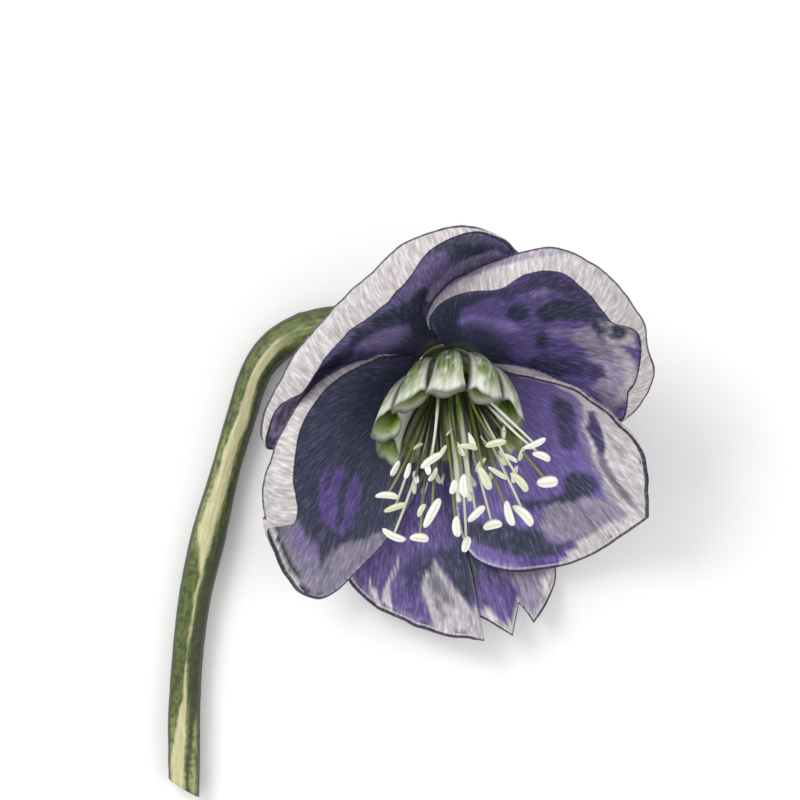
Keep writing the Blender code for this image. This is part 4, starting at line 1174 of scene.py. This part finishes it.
def living_finish(name, roughness, grain, stretch, depth, speckle=0.08, lift=0.0, **shine):
    """A painted plant surface: its tint, finer streaks that follow the fan, and
    a fine grain that is felt in the gloss and in the light"""
    finish = bpy.data.materials.new(name)
    finish.use_nodes = True
    tree = finish.node_tree
    shader = tree.nodes["Principled BSDF"]
    set_inputs(shader, Sheen_Roughness=0.4, Specular_IOR_Level=0.35, **shine)
    tint = node(tree, "Attribute", -900, 300, attribute_name="tint")
    fan = node(tree, "Attribute", -1300, 0, attribute_name="fan")
    scaled = node(tree, "VectorMath", -1100, 0, operation="MULTIPLY")
    scaled.inputs[1].default_value = stretch
    streaks = node(tree, "TexNoise", -900, 0, Scale=1.0, Detail=3.0, Roughness=0.6)
    place = node(tree, "TexCoord", -1300, -300)
    cells = node(tree, "TexNoise", -900, -300, Scale=grain, Detail=2.0, Roughness=0.5)
    spread = node(tree, "MapRange", -700, 0, From_Min=0.3, From_Max=0.7)
    set_inputs(spread, To_Min=1 - 2 * speckle, To_Max=1 + speckle)
    shaded = node(tree, "VectorMath", -450, 250, operation="SCALE")
    threads = node(tree, "MapRange", -700, -200, From_Min=0.5, From_Max=0.7, To_Max=lift)
    lifted = node(tree, "VectorMath", -250, 250, operation="ADD")
    gloss = node(tree, "MapRange", -450, -100, To_Min=roughness - 0.08, To_Max=roughness + 0.1)
    ridges = node(tree, "Bump", -450, -350, Strength=0.5, Distance=depth)
    pores = node(tree, "Bump", -250, -350, Strength=0.35, Distance=depth * 0.6)
    for source, output, target, taken in (
        (fan, "Vector", scaled, 0),
        (scaled, "Vector", streaks, "Vector"),
        (place, "Object", cells, "Vector"),
        (streaks, "Fac", spread, "Value"),
        (tint, "Color", shaded, 0),
        (spread, "Result", shaded, "Scale"),
        (streaks, "Fac", threads, "Value"),
        (shaded, "Vector", lifted, 0),
        (threads, "Result", lifted, 1),
        (lifted, "Vector", shader, "Base Color"),
        (cells, "Fac", gloss, "Value"),
        (gloss, "Result", shader, "Roughness"),
        (streaks, "Fac", ridges, "Height"),
        (cells, "Fac", pores, "Height"),
        (ridges, "Normal", pores, "Normal"),
        (pores, "Normal", shader, "Normal"),
    ):
        tree.links.new(source.outputs[output], target.inputs[taken])
    return finish


PETAL = living_finish(
    "petal", 0.5, 2600, (1.9, 0.45, 1.0), 0.00012, speckle=0.2, lift=0.07, Sheen_Weight=0.05
)
STEM_SKIN = living_finish("stem_skin", 0.45, 2200, (2.2, 0.3, 1.0), 0.00015, Coat_Weight=0.05)
NECTARY_SKIN = living_finish("nectary_skin", 0.42, 2600, (2.0, 0.6, 1.0), 0.0001, Coat_Weight=0.1)
FILAMENT_SKIN = living_finish("filament_skin", 0.5, 3000, (1.0, 1.0, 1.0), 0.00005)
ANTHER_SKIN = living_finish("anther_skin", 0.65, 5200, (1.5, 1.5, 1.0), 0.00012, speckle=0.04)
CARPEL_SKIN = living_finish("carpel_skin", 0.45, 2600, (1.5, 0.8, 1.0), 0.00008)


def make_stage():
    """A plain pale surface, soft light from all round and a key light at the left"""
    scene = bpy.context.scene
    mesh = bpy.data.meshes.new("surface")
    half = SURFACE_HALF
    corners = [(-half, -half, 0), (half, -half, 0), (half, half, 0), (-half, half, 0)]
    mesh.from_pydata(corners, [], [(0, 1, 2, 3)])
    surface = bpy.data.objects.new("surface", mesh)
    scene.collection.objects.link(surface)
    surface.location.z = -0.05 * MM
    paper = bpy.data.materials.new("paper")
    paper.use_nodes = True
    shader = paper.node_tree.nodes["Principled BSDF"]
    set_inputs(shader, Base_Color=PAPER_WHITE, Roughness=0.9, Specular_IOR_Level=0.1)
    mesh.materials.append(paper)
    world = bpy.data.worlds.new("studio")
    world.use_nodes = True
    set_inputs(world.node_tree.nodes["Background"], Color=(1, 1, 1, 1), Strength=SKY_STRENGTH)
    scene.world = world
    for name, spot, size, power in LAMPS:
        light = bpy.data.lights.new(name, "AREA")
        light.shape = "SQUARE"
        light.size = size
        light.energy = power
        lamp = bpy.data.objects.new(name, light)
        lamp.location = spot
        lamp.rotation_euler = (LIT_POINT - Vector(spot)).to_track_quat("-Z", "Y").to_euler()
        scene.collection.objects.link(lamp)
    scene.view_settings.view_transform = "Standard"


def make_camera():
    """Looks straight down from above the picture's middle, with +Y up"""
    data = bpy.data.cameras.new("camera")
    data.sensor_width = 36
    data.lens = VIEW_LENS
    data.clip_start = 0.01
    data.clip_end = 10
    camera = bpy.data.objects.new("camera", data)
    camera.location = (*(VIEW_CENTRE * MM), VIEW_HEIGHT * MM)
    bpy.context.scene.collection.objects.link(camera)
    bpy.context.scene.camera = camera


# The stage, in metres: half the width of the surface, and for each lamp its
# place, its width and its power
SURFACE_HALF = 1.5
PAPER_WHITE = (0.93, 0.93, 0.93, 1)
SKY_STRENGTH = 0.78
LIT_POINT = Vector((0.0, 0.01, 0.0))
LAMPS = (
    ("key", (-0.42, 0.4, 0.62), 0.4, 3.6),
    ("fill", (0.5, -0.1, 0.6), 0.6, 0.9),
)

make_camera()
make_stage()
make_stem()
for sepal_name, sepal_shape in SEPALS.items():
    make_sepal(sepal_name, sepal_shape)
make_nectaries()
make_stamens()
make_carpels()
